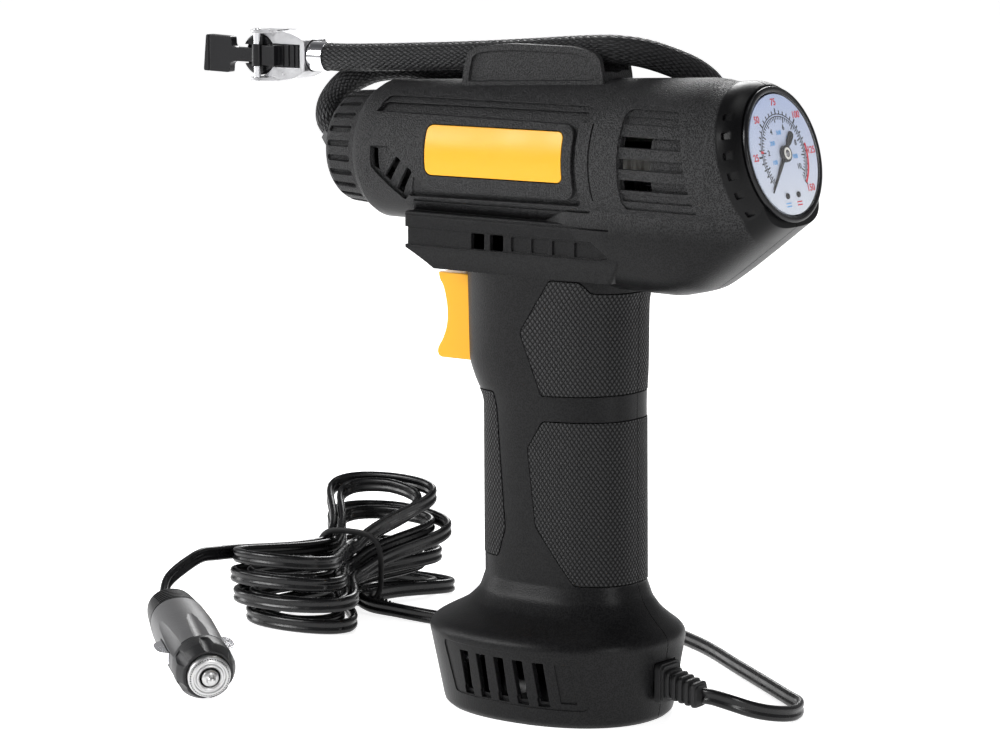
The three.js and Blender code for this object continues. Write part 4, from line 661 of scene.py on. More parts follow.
def make_materials():
    return {
        "black_plastic": housing_material(),
        "black_smooth": plain_plastic("black_smooth", (0.011, 0.011, 0.012), 0.36),
        "black_gloss": plain_plastic("black_gloss", (0.008, 0.008, 0.009), 0.2, 0.3, 0.02),
        "needle_black": ink("needle_black", (0.008, 0.008, 0.009)),
        "grip_rubber": knurl_material(),
        "plain_rubber": plain_plastic("plain_rubber", (0.012, 0.012, 0.0125), 0.5, 0.3, 0.1),
        "yellow_plastic": yellow_material(),
        "lens": lens_material(),
        "dial_paint": dial_material(),
        "brass": metal_material("brass", (0.62, 0.42, 0.16), 0.3),
        "steel": metal_material("steel", (0.5, 0.5, 0.52), 0.3),
        "white_plastic": plain_plastic("white_plastic", (0.75, 0.74, 0.7), 0.45),
        "aluminium": metal_material("aluminium", (0.55, 0.56, 0.58), 0.38),
        "grey_plastic": plug_material(),
        "plug_dark": plain_plastic("plug_dark", (0.016, 0.016, 0.017), 0.4, 0.3, 0.16),
        "hose_braid": braid_material(),
        "chrome": metal_material("chrome", (0.82, 0.82, 0.84), 0.11, 0.02),
        "chrome_cast": metal_material("chrome_cast", (0.42, 0.42, 0.43), 0.34, 0.3, 600),
        "plug_silver": metal_material("plug_silver", (0.55, 0.55, 0.55), 0.34, 0.1, 900),
        "cord_pvc": cord_material(),
        "ink_black": ink("ink_black", (0.01, 0.01, 0.012)),
        "ink_red": ink("ink_red", (0.62, 0.03, 0.05)),
        "ink_blue": ink("ink_blue", (0.12, 0.38, 0.75)),
        "floor": paint_floor(),
    }


def wear(item, material, body="housing", nodes=()):
    """Dresses a piece, lets it ride on a body and stand for its CAD nodes."""
    item.data.materials.clear()
    item.data.materials.append(paint[material])
    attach(item, body)
    if nodes:
        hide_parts(*nodes)
    return item


# ---------------------------------------------------------------- forms shared by the housing and its trim
def along(x):
    return (x - NOSE_X) / (REAR_X - NOSE_X)


def axis_z(x):
    return NOSE_Z + (REAR_Z - NOSE_Z) * along(x)


def barrel_r(x):
    return FRONT_R + (REAR_R - FRONT_R) * along(x)


def barrel(name, inset=0.0, count=160):
    """The barrel and its bend up to the gauge's mouth, drawn in all round by an inset."""
    rings = []

    def flat(x, z, r):
        rings.append(super_ring(r, r, 2, count, lambda a, b: (x, a, z + b)))
    front = NOSE_X + FRONT_EDGE
    flat(NOSE_X + inset, NOSE_Z, NOSE_R - inset - 0.5)
    flat(NOSE_X + inset + 0.3, NOSE_Z, NOSE_R - inset)
    flat(front + inset * 0.5, axis_z(front), barrel_r(front) - inset)
    for x in np.linspace(front + 4, REAR_X - 6, 26):
        flat(x, axis_z(x), barrel_r(x) - inset)
    start = Vector((REAR_X - 2, 0, axis_z(REAR_X - 2)))
    end = GAUGE - AXIS * BAND_DEPTH
    level = Vector((1, 0, (REAR_Z - NOSE_Z) / (REAR_X - NOSE_X))).normalized()
    span = (end - start).length
    for i in range(9):
        t = i / 8
        h = (2 * t ** 3 - 3 * t ** 2 + 1, t ** 3 - 2 * t ** 2 + t, -2 * t ** 3 + 3 * t ** 2, t ** 3 - t ** 2)
        centre = start * h[0] + level * span * h[1] + end * h[2] + AXIS * span * h[3]
        lean = TILT * (3 * t ** 2 - 2 * t ** 3)
        up = Vector((-math.sin(lean), 0, math.cos(lean)))
        r = REAR_R + 0.02 - (REAR_R + 0.02 - BAND_R) * t ** 2 - inset
        rings.append(super_ring(r, r, 2, count, lambda a, b: tuple(centre + Vector((0, a, 0)) + up * b)))
    mouth = BEZEL_LIP + GAP + inset
    for depth, radius in ((7.0, 25.35), (5.0, 24.85), (3.2, 24.0), (mouth + 0.5, MOUTH_R + 0.1),
                          (mouth, MOUTH_R - 0.3)):
        centre = GAUGE - AXIS * depth
        r = radius - inset
        rings.append(super_ring(r, r, 2, count, lambda a, b: tuple(centre + Vector((0, a, 0)) + UP * b)))
    return loft(name, rings)


HOOD_TOP = 192
# Rows of (x, half width, lower edge).
HOOD = [(4, 15, 152), (14, 19.4, 146.4), (30, 20.6, 143.6), (52, 20.6, 143.2), (61, 20.3, 145.2),
        (70, 19.9, 151.6), (80, 18.8, 159.4), (91, 16.5, 168)]


def hood(name, inset=0.0, count=96, step=1.5):
    """The swelling under the rear of the barrel, drawn in all round by an inset."""
    rows = smooth_table(HOOD, step, 1.3)
    rings = []
    for i, (x, half, under) in enumerate(rows):
        end = inset if i == 0 else (-inset if i == len(rows) - 1 else 0)
        bottom = under + inset
        rings.append(super_ring(half - inset, (HOOD_TOP - bottom) / 2, 3, count,
                                lambda a, b: (x + end, a, (HOOD_TOP + bottom) / 2 + b)))
    return loft(name, rings)


FLARE_TOP = 45
# Rows of (height, front, rear, half width, squareness) of the handle and its foot.
STOCK = [
    (0, -37.8, 38.6, 30.0, 2.2), (1.4, -39.6, 40.2, 31.6, 2.2), (27, -44.6, 43.8, 35.2, 2.3),
    (29.4, -43, 42.6, 33.4, 2.3), (31.4, -39.4, 40.4, 30, 2.3), (35, -32.2, 36.8, 24.2, 2.35),
    (39.5, -27.4, 33.6, 19.9, 2.5), (45, -25.4, 31.6, 18, 2.6), (104, -25.8, 31, 18, 2.6),
    (110.7, -29.5, 31, 18, 2.7), (116.2, -31.5, 31.2, 18, 2.8), (138, -32.1, 31.4, 18, 2.8),
    (146.8, -32.5, 33, 18, 2.8), (161.5, -32.5, 33, 18, 2.8),
]


def stock_rows():
    """Finer rows, with sharper corners on the foot than above it."""
    base = smooth_table([r for r in STOCK if r[0] <= FLARE_TOP], 0.7, 0.85)
    upper = smooth_table([r for r in STOCK if r[0] >= FLARE_TOP], 1.6, 1.3)
    return np.vstack([base, upper[1:]])


ROWS = stock_rows()


def stock_at(z):
    """The front, rear, half width and squareness of the handle at a height."""
    return [float(np.interp(z, ROWS[:, 0], ROWS[:, k])) for k in range(1, 5)]


def stock(name, inset=0.0, low=0.0, high=162.0, count=128, thin=1):
    """The handle with its foot, between two heights; thin keeps only every so manyth row."""
    rings = []
    rows = [r for r in ROWS if low <= r[0] <= high]
    rows = rows[::thin] + ([rows[-1]] if (len(rows) - 1) % thin else [])
    for i, (z, front, rear, half, square) in enumerate(rows):
        level = z + (inset if i == 0 and inset > 0 and low <= 0 else 0)
        middle = (front + rear) / 2
        rings.append(super_ring((rear - front) / 2 - inset, half - inset, square, count,
                                lambda a, b: (middle + a, b, level)))
    return loft(name, rings)


def neck(name, inset=0.0):
    """The block under the barrel, drawn in below its ledge to the width of the handle."""
    bevel = 10.5
    low, half = GRIP_HALF - inset, NECK_HALF - inset
    levels = []
    for i in range(9):
        t = i / 8
        z = NECK_BOTTOM + inset + (NECK_LEDGE + inset * 0.4 - NECK_BOTTOM - inset) * t
        wide = low + (half - low) * t ** 1.8
        levels.append((z, NECK_X + inset + bevel * (1 - t), NECK_REAR - 8 + 4 * t, wide))
    levels += [(NECK_TOP - inset - 0.4, NECK_X + inset, NECK_REAR, half),
               (NECK_TOP - inset, NECK_X + inset + 0.3, NECK_REAR, half - 0.3)]
    corner = 1.0
    rings = []
    for z, front, rear, wide in levels:
        rings.append([(x, y, z) for x, y in rounded(front, rear, -wide, wide, corner, 4)])
    return loft(name, rings)


def cradle(name, half):
    outline = soften([
        (CRADLE_FRONT, 198), (CRADLE_FRONT, 210.5), (CRADLE_FRONT + 2.2, 218.6), (CRADLE_FRONT + 6, 220.6),
        (CRADLE_FRONT + 18, CRADLE_TOP), (CRADLE_REAR - 11, CRADLE_TOP), (CRADLE_REAR - 3.2, 220.2),
        (CRADLE_REAR - 1.4, 218.4), (CRADLE_REAR, 212), (CRADLE_REAR, 198)], [0, 3, 3, 4, 6, 6, 2, 2, 2, 0])
    return prism(name, outline, -half, half)


def through(outline):
    """A cutter that goes through the whole width of the part."""
    return prism("cutter", outline, -FAR, FAR)


def recess(shell, depth, *outlines):
    """Cuts outlines into both flanks of the barrel, to a depth below its surface."""
    tool = merged("recess", [through(outline) for outline in outlines])
    combine(tool, barrel("core", depth, 112))
    combine(shell, tool)


PANEL = (-37.6, 17.6, 179.0, 195.4)


def panel_outline(grow=0.0):
    x0, x1, z0, z1 = PANEL
    flat = rounded(x0 - grow, x1 + grow, z0 - grow, z1 + grow, 2.2 + grow)
    return [(x, z + (x - x0) * 0.012 - 0.3) for x, z in flat]


def barrel_details(shell):
    """The step, the channel round the panel, the chevron with its slots, fine lines and the panel's seat."""
    step = soften([
        (-60.6, 200.2), (-58.4, 203.2), (24.4, 204.1), (26.5, 203.6), (26.9, 199.4), (23.3, 199.2),
        (21.5, 198.4), (-57.4, 198.3)], [1.2, 1.5, 1.4, 1.2, 0.8, 0.4, 0.4, 0.6])
    channel = soften([
        (-61.2, 198.0), (-58.9, 201.1), (25.2, 202.2), (26.0, 199.9), (23.3, 199.2), (23.3, 173.4),
        (22.2, 171.8), (-46.8, 170.7), (-43.8, 177.4), (-42.6, 177.4), (-36.2, 172.9), (18.8, 173.8),
        (21.4, 176.4), (21.7, 195.6), (19.2, 198.3), (-57.2, 198.2)],
        [0.6, 1.2, 1.2, 0.8, 0.6, 0.8, 0.8, 0.3, 0.3, 0.3, 1.5, 2.2, 2.2, 2.4, 2.4, 0.5])
    chevron = soften([
        (-60.4, 187.0), (-52.9, 187.2), (-50.3, 185.2), (-42.9, 178.8), (-46.4, 171.3), (-49.7, 169.1),
        (-57.4, 177.0), (-60.4, 180.2)], 0.7)
    lower_line = soften([(-46.2, 168.9), (25.0, 169.6), (25.8, 170.2), (25.2, 170.5), (-45.8, 169.7)], 0.3)
    upright_line = [(28.2, 174.2), (28.8, 174.2), (28.8, 199.0), (28.2, 199.0)]
    front_slot = soften([(-60.2, 186.6), (-57.7, 186.2), (-57.5, 179.0), (-60.1, 180.4)], 0.3)
    slots = [soften(slot, 0.3) for slot in (
        [(-50.2, 183.9), (-48.0, 183.0), (-53.7, 175.6), (-55.7, 177.2)],
        [(-45.5, 181.0), (-43.4, 179.8), (-50.2, 171.2), (-52.0, 173.0)])]
    recess(shell, 0.55, step)
    recess(shell, 1.45, channel)
    recess(shell, 1.1, chevron)
    recess(shell, 0.45, lower_line, upright_line)
    recess(shell, 3.4, front_slot)
    recess(shell, 4.2, *slots)
    recess(shell, 1.5, panel_outline(0.35))


LOUVRE_FRONT = 39.5


def louvre_edge(z):
    """The slanted rear end of the louvres."""
    return float(np.interp(z, [172, 181, 190, 196, 200, 204.4], [67.3, 65.9, 64.4, 62.9, 61.4, 59.6]))


def strip(z0, z1, front=LOUVRE_FRONT + 0.5, rear=None):
    """One louvre: it ends at rear, or half a millimetre before the slanted edge."""
    ends = [louvre_edge(z) - 0.5 if rear is None else rear for z in (z0, z1)]
    return soften([(front, z0), (ends[0], z0), (ends[1], z1), (front, z1)], 0.3, 2)


def louvre(shell):
    rim = [(LOUVRE_FRONT, 174.2), (40.6, 172.2)] + [(louvre_edge(z), z) for z in (172, 181, 190, 197, 204.2)]
    rim += [(41.4, 204.2), (LOUVRE_FRONT, 202.4)]
    windows = [(192.3, 195.7), (185.3, 188.7), (178.6, 182.0)]
    closed = [(199.5, 201.9), (174.9, 177.5)]
    recess(shell, 0.55, soften(rim, 0.8))
    recess(shell, 2.0, *[strip(a, b) for a, b in windows])
    recess(shell, 1.1, *[strip(a, b) for a, b in closed])
    recess(shell, 5.0, *[strip(a, b, 40.6, 51.2) for a, b in windows])


def gauge_side(shell):
    """The flat seat of the gauge, its bore and the small marks round the smooth band."""
    corners = ((-FAR, -FAR), (FAR, -FAR), (FAR, FAR), (-FAR, FAR))
    seat = []
    for depth in (-BEZEL_LIP - GAP, FAR):
        seat.append([tuple(GAUGE + AXIS * depth + Vector((0, 1, 0)) * a + UP * b) for a, b in corners])
    combine(shell, loft("seat", seat))
    combine(shell, rod("bore", GAUGE - AXIS * (CASE_DEPTH + 0.6), GAUGE + AXIS * FAR, CASE_R + 0.4, 96))
    marks = [slanted_mark(side, i, degrees) for side in (-1, 1)
             for i, degrees in enumerate((54, 69, 84, 99, 114, 131))]
    combine(shell, marks)


def slanted_mark(side, i, degrees):
    a = math.radians(degrees)
    out = Vector((0, side * math.sin(a), 0)) + UP * math.cos(a)
    across = AXIS.cross(out)
    centre = GAUGE - AXIS * 5.4 + out * 24.8
    lean = 0.025 * (i - 2)
    outline = soften([(-1.7, -1.2), (1.7, -1.2), (1.7 - lean, 1.2), (-1.7 - lean, 1.2)], 0.35, 3)
    return loft("mark", [[tuple(centre + AXIS * p + across * q + out * h) for p, q in outline]
                         for h in (-0.25, 1.6)])


def neck_core(depth):
    """What stays of the neck's flanks behind a recess of a depth."""
    return box("core", -100, 60, -NECK_HALF + depth, NECK_HALF - depth, 100, 200)


def neck_recess(shell, depth, *outlines):
    tool = merged("recess", [through(outline) for outline in outlines])
    combine(tool, neck_core(depth))
    combine(shell, tool)


def neck_details(shell):
    """A shallow band with four pockets and two windows, under a fine line."""
    z0, z1 = NECK_LEDGE + 1.0, 160.4
    front = NECK_X - 1
    neck_recess(shell, 0.7, [(front, z0), (30, z0), (26, z1), (front, z1)])
    combine(shell, box("front", -60, NECK_X + 1.1, -FAR, FAR, z0, z1))
    spans = ((-6.2, 0.4), (1.8, 8.3), (10.0, 16.3))
    pockets = [rounded(x0, x1, z0 + 0.5, z1 - 0.7, 0.5, 3) for x0, x1 in spans]
    pockets.append(soften([(18.7, z0 + 0.5), (31.8, z0 + 0.5), (32.3, z0 + 1.4), (26.8, z1 - 0.7),
                           (18.7, z1 - 0.7)], 0.5))
    neck_recess(shell, 1.3, *pockets)
    windows = [through(rounded(x, x + 5.3, z0 + 0.2, z1 - 0.5, 0.4, 3)) for x in (-22.3, -14.7)]
    combine(shell, merged("windows", windows))
    neck_recess(shell, 0.35, [(front, 164.2), (33, 164.2), (33, 164.8), (front, 164.8)])


def base_details(shell):
    """A shallow field with five openings, each with a small sloping sill, and a blind sixth one."""
    def core(depth):
        return stock("core", depth, high=FLARE_TOP, count=64, thin=3)
    outline = [(-21.5, 7.2), (27.6, 6.3), (29.3, 7.6), (27.2, 24.4), (-24.6, 25.0), (-25.4, 23.6)]
    field = through(soften(outline, [1.5, 1, 1, 1, 1, 1]))
    combine(field, stock("core", 0.3, high=FLARE_TOP))
    combine(shell, field)
    slots = []
    first, pitch, count = -17.5, 7.4, 5
    for i in range(count):
        x, low, high = first + i * pitch, 9.2 - i * 0.1, 22.6 - i * 0.1
        outline = [(x + 1.3, low), (x + 4.6 + i * 0.1, low), (x + 3.9, high), (x, high)]
        slots.append(through(soften(outline, 0.25, 2)))
        up, down = low + 1.2, low - 1.6
        sill = through([(x + 0.8, up), (x + 1.2, down), (x + 5.2, down), (x + 4.9, up)])
        combine(sill, core(1.5))
        combine(shell, sill)
    x = first + count * pitch
    blind = through(soften([(x + 1.2, 8.7), (x + 6.2, 8.7), (x + 5.2, 22.1), (x + 0.1, 22.1)], 0.4))
    combine(blind, core(0.8))
    combine(shell, blind)
    combine(shell, merged("slots", slots))


GRIPS = {
    "upper": [(-3.6, 128.3), (5.1, 107.6), (FAR, 110.5), (FAR, 142.8), (23, 142.8), (19.5, 146.4),
              (8.1, 146.4)],
    "lower": [(-0.4, 90), (2.9, 63.9), (17.6, 45.2), (FAR, 46), (FAR, 101.5), (5.6, 99.6)],
    "front": [(-FAR, 105.5), (-FAR, 51), (-13, 51.8), (-9.5, 61.9), (-13.5, 101.8), (-15, 107.6)],
}


def grip_outline(name, margin):
    return soften(shrink(GRIPS[name], margin), 1.3, 4)


def grip_pockets(shell):
    for name in GRIPS:
        tool = through(grip_outline(name, 0.0))
        combine(tool, stock("reach", -1.0, 44, 150), "INTERSECT")
        combine(tool, stock("core", 1.1, 43, 151))
        combine(shell, tool)


def grip_pads():
    """Textured pads, knurled all over, on each side."""
    for name in GRIPS:
        for label, side in (("left", -1), ("right", 1)):
            span = (-FAR, -0.15) if side < 0 else (0.15, FAR)
            pad = prism("grip_" + name + "_pad_" + label, grip_outline(name, 0.35), *span)
            combine(pad, stock("skin", -0.2, 44.5, 149.5), "INTERSECT")
            combine(pad, stock("core", 0.8, 43, 151))
            shade(pad, 35)
            wrap_uv(pad)
            wear(pad, "grip_rubber", nodes=[f"grip_{name}_{label}"])


def perimeter_table():
    """How far round the handle each angle lies, on one typical section."""
    depth, square = 28.2, 2.65
    t = np.linspace(-math.pi, math.pi, 721)
    c, s = np.cos(t), np.sin(t)
    a = depth * np.sign(c) * np.abs(c) ** (2 / square)
    b = GRIP_HALF * np.sign(s) * np.abs(s) ** (2 / square)
    return t, np.concatenate([[0], np.cumsum(np.hypot(np.diff(a), np.diff(b)))])


def wrap_uv(item):
    """A UV in millimetres: round the handle and up it."""
    t, length = perimeter_table()
    mesh = item.data
    layer = mesh.uv_layers.new(name="UVMap")
    uv = []
    for vertex in mesh.vertices:
        x, y, z = (c / MM for c in vertex.co)
        front, rear, half, square = stock_at(z)
        a = (x - (front + rear) / 2) / ((rear - front) / 2)
        b = y / half
        angle = math.atan2(math.copysign(abs(b) ** (square / 2), b), math.copysign(abs(a) ** (square / 2), a))
        uv.append((float(np.interp(angle, t, length)), z))
    for loop in mesh.loops:
        layer.data[loop.index].uv = uv[loop.vertex_index]


def screw_wells(shell):
    for x, z in SCREWS:
        combine(shell, rod("well", (x, 13, z), (x, FAR, z), 2.8, 32))


def cradle_body(shell):
    """Walls of the hose cradle, grainy all over, with a raised rim round a recessed face."""
    half = HOSE_R + 0.5 + 3.5
    combine(shell, cradle("cradle", half), "UNION")
    face = soften([
        (-30.6, 196), (-30.6, 210.2), (-28.8, 217.4), (-25.6, 218.7), (-14.5, 219.9), (11, 219.9),
        (17.2, 218.6), (18.6, 216.8), (19.6, 211.6), (19.6, 196)], [0, 3, 3, 3, 5, 5, 2, 2, 2, 0])
    tool = merged("face", [prism("face", face, -FAR, -half + 0.7), prism("face", face, half - 0.7, FAR)])
    combine(tool, barrel("core", -1.2, 112))
    combine(shell, tool)


def cradle_trough(shell):
    """The hose's bed, open at the top and flared at the rear."""
    low, wide, mouth = 2.3, HOSE_R + 0.5, HOSE_R + 2.6
    front, rear = [axis_z(x) + barrel_r(x) + low + HOSE_R for x in (CRADLE_FRONT, CRADLE_REAR)]
    x0, x1 = CRADLE_FRONT - 1, CRADLE_REAR + 1

    def at(x):
        return front + (rear - front) * (x - CRADLE_FRONT) / (CRADLE_REAR - CRADLE_FRONT)
    combine(shell, prism("open", [(x0, at(x0)), (x1, at(x1)), (x1, 250), (x0, 250)], -wide, wide))
    flare = [(12, -HOSE_R), (x1, -mouth), (x1, mouth), (12, HOSE_R)]
    combine(shell, prism("flare", flare, rear - HOSE_R, 250, "XY"))
    combine(shell, rod("round", (x0, 0, at(x0)), (x1, 0, at(x1)), wide, 48))


def seam(shell):
    """The fine line where the two halves meet."""
    slab = box("seam", -100, 120, -0.16, 0.16, -5, 230)
    inner = [barrel("in", 0.5, 96), hood("in", 0.5, 64, 3), stock("in", 0.5, count=96, thin=2),
             neck("in", 0.5), cradle("in", 8.3)]
    for item in inner:
        combine(slab, item)
    combine(shell, slab)


def housing():
    """Both shells in one hollow piece, with every opening and recess."""
    shell = barrel("housing_shell")
    combine(shell, [hood("hood"), neck("neck"), stock("stock")], "UNION")
    cradle_body(shell)
    wall = 2.4
    hollow = barrel("hollow", wall, 64)
    combine(hollow, [hood("hood", wall, 48, 3), neck("neck", wall), stock("stock", wall, count=64, thin=3),
                     box("throat", NECK_X + 6, 30, -12, 12, NECK_TOP - 8, NECK_TOP + 4)], "UNION")
    combine(shell, hollow)
    seam(shell)
    gauge_side(shell)
    cradle_trough(shell)
    barrel_details(shell)
    louvre(shell)
    neck_details(shell)
    base_details(shell)
    grip_pockets(shell)
    wide = TRIGGER_HALF + GAP
    combine(shell, box("slot", -FAR, -18, -wide, wide, TRIGGER_LOW - GAP, TRIGGER_TOP + GAP))
    combine(shell, rod("outlet", (NOSE_X - 5, 0, NOSE_Z), (NOSE_X + 10, 0, NOSE_Z), ELBOW_R + GAP, 48))
    wide, tall = BOOT_HALF_WIDTH + GAP, BOOT_HALF_HEIGHT + GAP
    combine(shell, box("strain", STRAIN_FACE - GAP, 60, -wide, wide, STRAIN_Z - tall, STRAIN_Z + tall))
    screw_wells(shell)
    shade(shell, 30)
    wear(shell, "black_plastic", nodes=["housing_left", "housing_right"])


def panels():
    """The yellow plates set into both flanks."""
    for label, span in (("left", (-FAR, 0)), ("right", (0, FAR))):
        panel = prism("side_badge_" + label, panel_outline(0.0), *span)
        combine(panel, barrel("skin", 0.12, 160), "INTERSECT")
        combine(panel, barrel("core", 1.1, 112))
        shade(panel, 35, 0.35, 3)
        wear(panel, "yellow_plastic", nodes=["side_panel_" + label])


# ---------------------------------------------------------------- nose
OUT = Vector((-math.cos(0.96), 0, math.sin(0.96)))


NOSE_FRONT, CAP_R, CAP_WALL, ELBOW_R = -85.0, 20.0, 2.4, 4.6


def nose_ring():
    """The cap in front of the barrel, with grooves all round for the fingers."""
    length = NOSE_X - NOSE_FRONT
    profile = [
        (4.9, length), (14.6, length), (15.4, length - 0.3), (17.4, length - 1.5), (18.2, length - 2.5),
        (18.9, length - 4), (CAP_R - 0.4, 2.4), (CAP_R, 1.2), (CAP_R, 0), (17.4, 0),
        (16.4, length - CAP_WALL), (4.9, length - CAP_WALL), (4.9, length)]
    cap = revolve("nose_ring", profile, (NOSE_X, 0, NOSE_Z), (-1, 0, 0), 144)
    grooves, floor_r = 24, 17.7
    tools = []
    for i in range(grooves):
        a = 2 * math.pi * (i + 0.5) / grooves
        out = Vector((0, math.sin(a), math.cos(a)))
        side = Vector((0, math.cos(a), -math.sin(a)))
        rings = []
        for r in (floor_r, 22.0):
            grow = (r - floor_r) * 0.14
            rings.append([tuple(Vector((NOSE_X - 8.2 + p, 0, NOSE_Z)) + side * q + out * r)
                          for p, q in rounded(-4.7 - grow, 4.7 + grow, -0.85 - grow, 0.85 + grow, 0.8, 4)])
        tools.append(loft("groove", rings))
    combine(cap, merged("grooves", tools))
    shade(cap, 32)
    wear(cap, "black_plastic", nodes=["nose_cap"])


def nose():
    """The cap, and the elbow through it that the hose starts from."""
    nose_ring()
    r = ELBOW_R
    flange = NOSE_X + 2.4
    elbow = Vector((NOSE_FRONT - 4.2, 0, NOSE_Z))
    stub = rod("hose_elbow", (flange + 9, 0, NOSE_Z), elbow, r, 48)
    bow = [(r * math.cos(a), r * math.sin(a)) for a in np.linspace(-1.45, 1.45, 13)]
    ball = revolve("ball", [(0, -r)] + bow + [(0, r)], elbow, (0, 0, 1), 48)
    combine(stub, [ball, rod("spout", elbow, elbow + OUT * 7, r, 48),
                   rod("flange", (flange + GAP, 0, NOSE_Z), (flange + 2.5, 0, NOSE_Z), 8, 32),
                   rod("nut", elbow + OUT * 2.5, elbow + OUT * 6, 5.6, 6)], "UNION")
    shade(stub, 35)
    wear(stub, "black_smooth", nodes=["hose_outlet"])


# ---------------------------------------------------------------- gauge
def on_dial(x, y, depth):
    """A point of the dial: right, up and out along the gauge's axis."""
    return GAUGE + Vector((0, 1, 0)) * x + UP * y + AXIS * depth


def dial_piece(name, outlines, low, high):
    parts = []
    for outline in outlines:
        parts.append(loft(name, [[tuple(on_dial(x, y, h)) for x, y in outline] for h in (low, high)]))
    return merged(name, parts)


def bar(angle, r0, r1, width):
    c, s = math.cos(angle), math.sin(angle)
    half = width / 2
    return [(r0 * c - half * s, r0 * s + half * c), (r0 * c + half * s, r0 * s - half * c),
            (r1 * c + half * s, r1 * s - half * c), (r1 * c - half * s, r1 * s + half * c)]


def arc_band(start, end, r0, r1):
    outer = [(r1 * math.cos(a), r1 * math.sin(a)) for a in np.linspace(start, end, 64)]
    inner = [(r0 * math.cos(a), r0 * math.sin(a)) for a in np.linspace(end, start, 64)]
    return outer + inner


def numerals(name, values, full, reach, size, material, depth):
    """Numbers standing upright on the dial, as thin raised print; reach is (across, up) from its centre."""
    work = bmesh.new()
    for value in values:
        data = bpy.data.curves.new(name, "FONT")
        data.body = str(value)
        data.size = size * MM
        data.extrude = 0.03 * MM
        data.offset = 0.012 * size * MM
        data.align_x, data.align_y = "CENTER", "CENTER"
        item = bpy.data.objects.new(name, data)
        bpy.context.scene.collection.objects.link(item)
        angle = dial_angle(value, full)
        middle = on_dial(reach[0] * math.cos(angle), reach[1] * math.sin(angle), depth)
        turn = Matrix((Vector((0, 1, 0)), UP, AXIS)).transposed().to_4x4()
        item.matrix_world = Matrix.Translation(middle * MM) @ turn
        bpy.context.view_layer.update()
        graph = bpy.context.evaluated_depsgraph_get()
        mesh = bpy.data.meshes.new_from_object(item.evaluated_get(graph))
        mesh.transform(item.matrix_world)
        work.from_mesh(mesh)
        bpy.data.objects.remove(item)
    mesh = bpy.data.meshes.new(name)
    work.to_mesh(mesh)
    work.free()
    wear(link(name, mesh), material)


PSI_FULL, BAR_FULL, KPA_FULL = 150.0, 10.55, 1034.0


def dial_angle(value, full=PSI_FULL):
    return NEEDLE_ZERO - math.radians(270) * value / full


def scale_ticks(count, step, full, start, minor, major, widths):
    """Ticks from one radius to another, every fifth one longer and wider."""
    ticks = []
    for i in range(count):
        end, width = (major, widths[1]) if i % 5 == 0 else (minor, widths[0])
        ticks.append(bar(dial_angle(i * step, full), start, end, width))
    return ticks


def dial_print():
    """The two scales, their numbers, the red arc and mark, the stops and the short lines below."""
    low, high = 0.02 - DIAL_DEPTH, 0.07 - DIAL_DEPTH
    start, end = dial_angle(0), dial_angle(PSI_FULL)
    black = scale_ticks(31, 5, PSI_FULL, 13.0, 14.2, 14.9, (0.42, 0.55))
    black += scale_ticks(53, 0.2, BAR_FULL, 12.3, 11.2, 10.4, (0.3, 0.44))
    black += [arc_band(end, start, 12.85, 13.15), arc_band(end, start, 12.15, 12.4)]
    wear(dial_piece("dial_ticks", black, low, high), "ink_black")
    red = [arc_band(end, dial_angle(119), 13.5, 14.4), bar(dial_angle(29), 11.9, 13.4, 0.8)]
    wear(dial_piece("dial_red_arc", red, low + 0.03, high + 0.03), "ink_red")
    numerals("dial_numbers_red", range(25, 151, 25), PSI_FULL, (16.8, 16.8), 3.2, "ink_red", high)
    numerals("dial_numbers_black", range(2, 11, 2), BAR_FULL, (8.9, 8.9), 2.5, "ink_black", high)
    numerals("dial_numbers_blue", range(100, 901, 200), KPA_FULL, (6.6, 7.0), 2.0, "ink_blue", high)
    stop = [(0, low), (0.95, low), (0.95, high + 0.35), (0.6, high + 0.6), (0, high + 0.6)]
    stops = [revolve("dial_stop", stop, on_dial(x, -13.3, 0), AXIS, 20) for x in (-3.3, 3.3)]
    wear(shade(merged("dial_stops", stops), 40), "ink_black")
    for color, x in (("blue", -3.3), ("red", 3.3)):
        bars = [[(x - 1.5, y - 0.2), (x + 1.5, y - 0.2), (x + 1.5, y + 0.2), (x - 1.5, y + 0.2)]
                for y in (-15.6, -16.6)]
        wear(dial_piece("dial_marks_" + color, bars, low, high), "ink_" + color)


def gauge():
    """The rim, the domed glass and the face."""
    rim = DIAL_R + 0.3
    bezel = revolve("gauge_rim", [
        (rim, -BEZEL_LIP), (BEZEL_R, -BEZEL_LIP), (BEZEL_R, -0.55), (BEZEL_R - 0.12, -0.28),
        (BEZEL_R - 0.45, -0.05), (BEZEL_R - 0.9, 0), (rim + 1.3, 0), (rim + 0.9, -0.05), (rim + 0.45, -0.25),
        (rim, -0.8), (rim, -BEZEL_LIP)], GAUGE, AXIS, 144)
    shade(bezel, 40)
    wear(bezel, "black_gloss", nodes=["gauge_bezel"])
    steps = [DIAL_R * i / 12 for i in range(13)]
    under = [(r, -0.4 + LENS_RISE * (1 - (r / DIAL_R) ** 2)) for r in steps]
    over = [(r, h + 0.8) for r, h in reversed(under)]
    lens = revolve("gauge_glass", under + over, GAUGE, AXIS, 128)
    shade(lens, 40)
    wear(lens, "lens", nodes=["gauge_lens"])
    top, bore = -DIAL_DEPTH, 1.4
    plate = [(bore, top - 0.8), (DIAL_R, top - 0.8), (DIAL_R, top), (bore, top), (bore, top - 0.8)]
    dial = revolve("gauge_face", plate, GAUGE, AXIS, 128)
    shade(dial, 40)
    wear(dial, "dial_paint", nodes=["gauge_dial"])
    dial_print()
    needle(top)


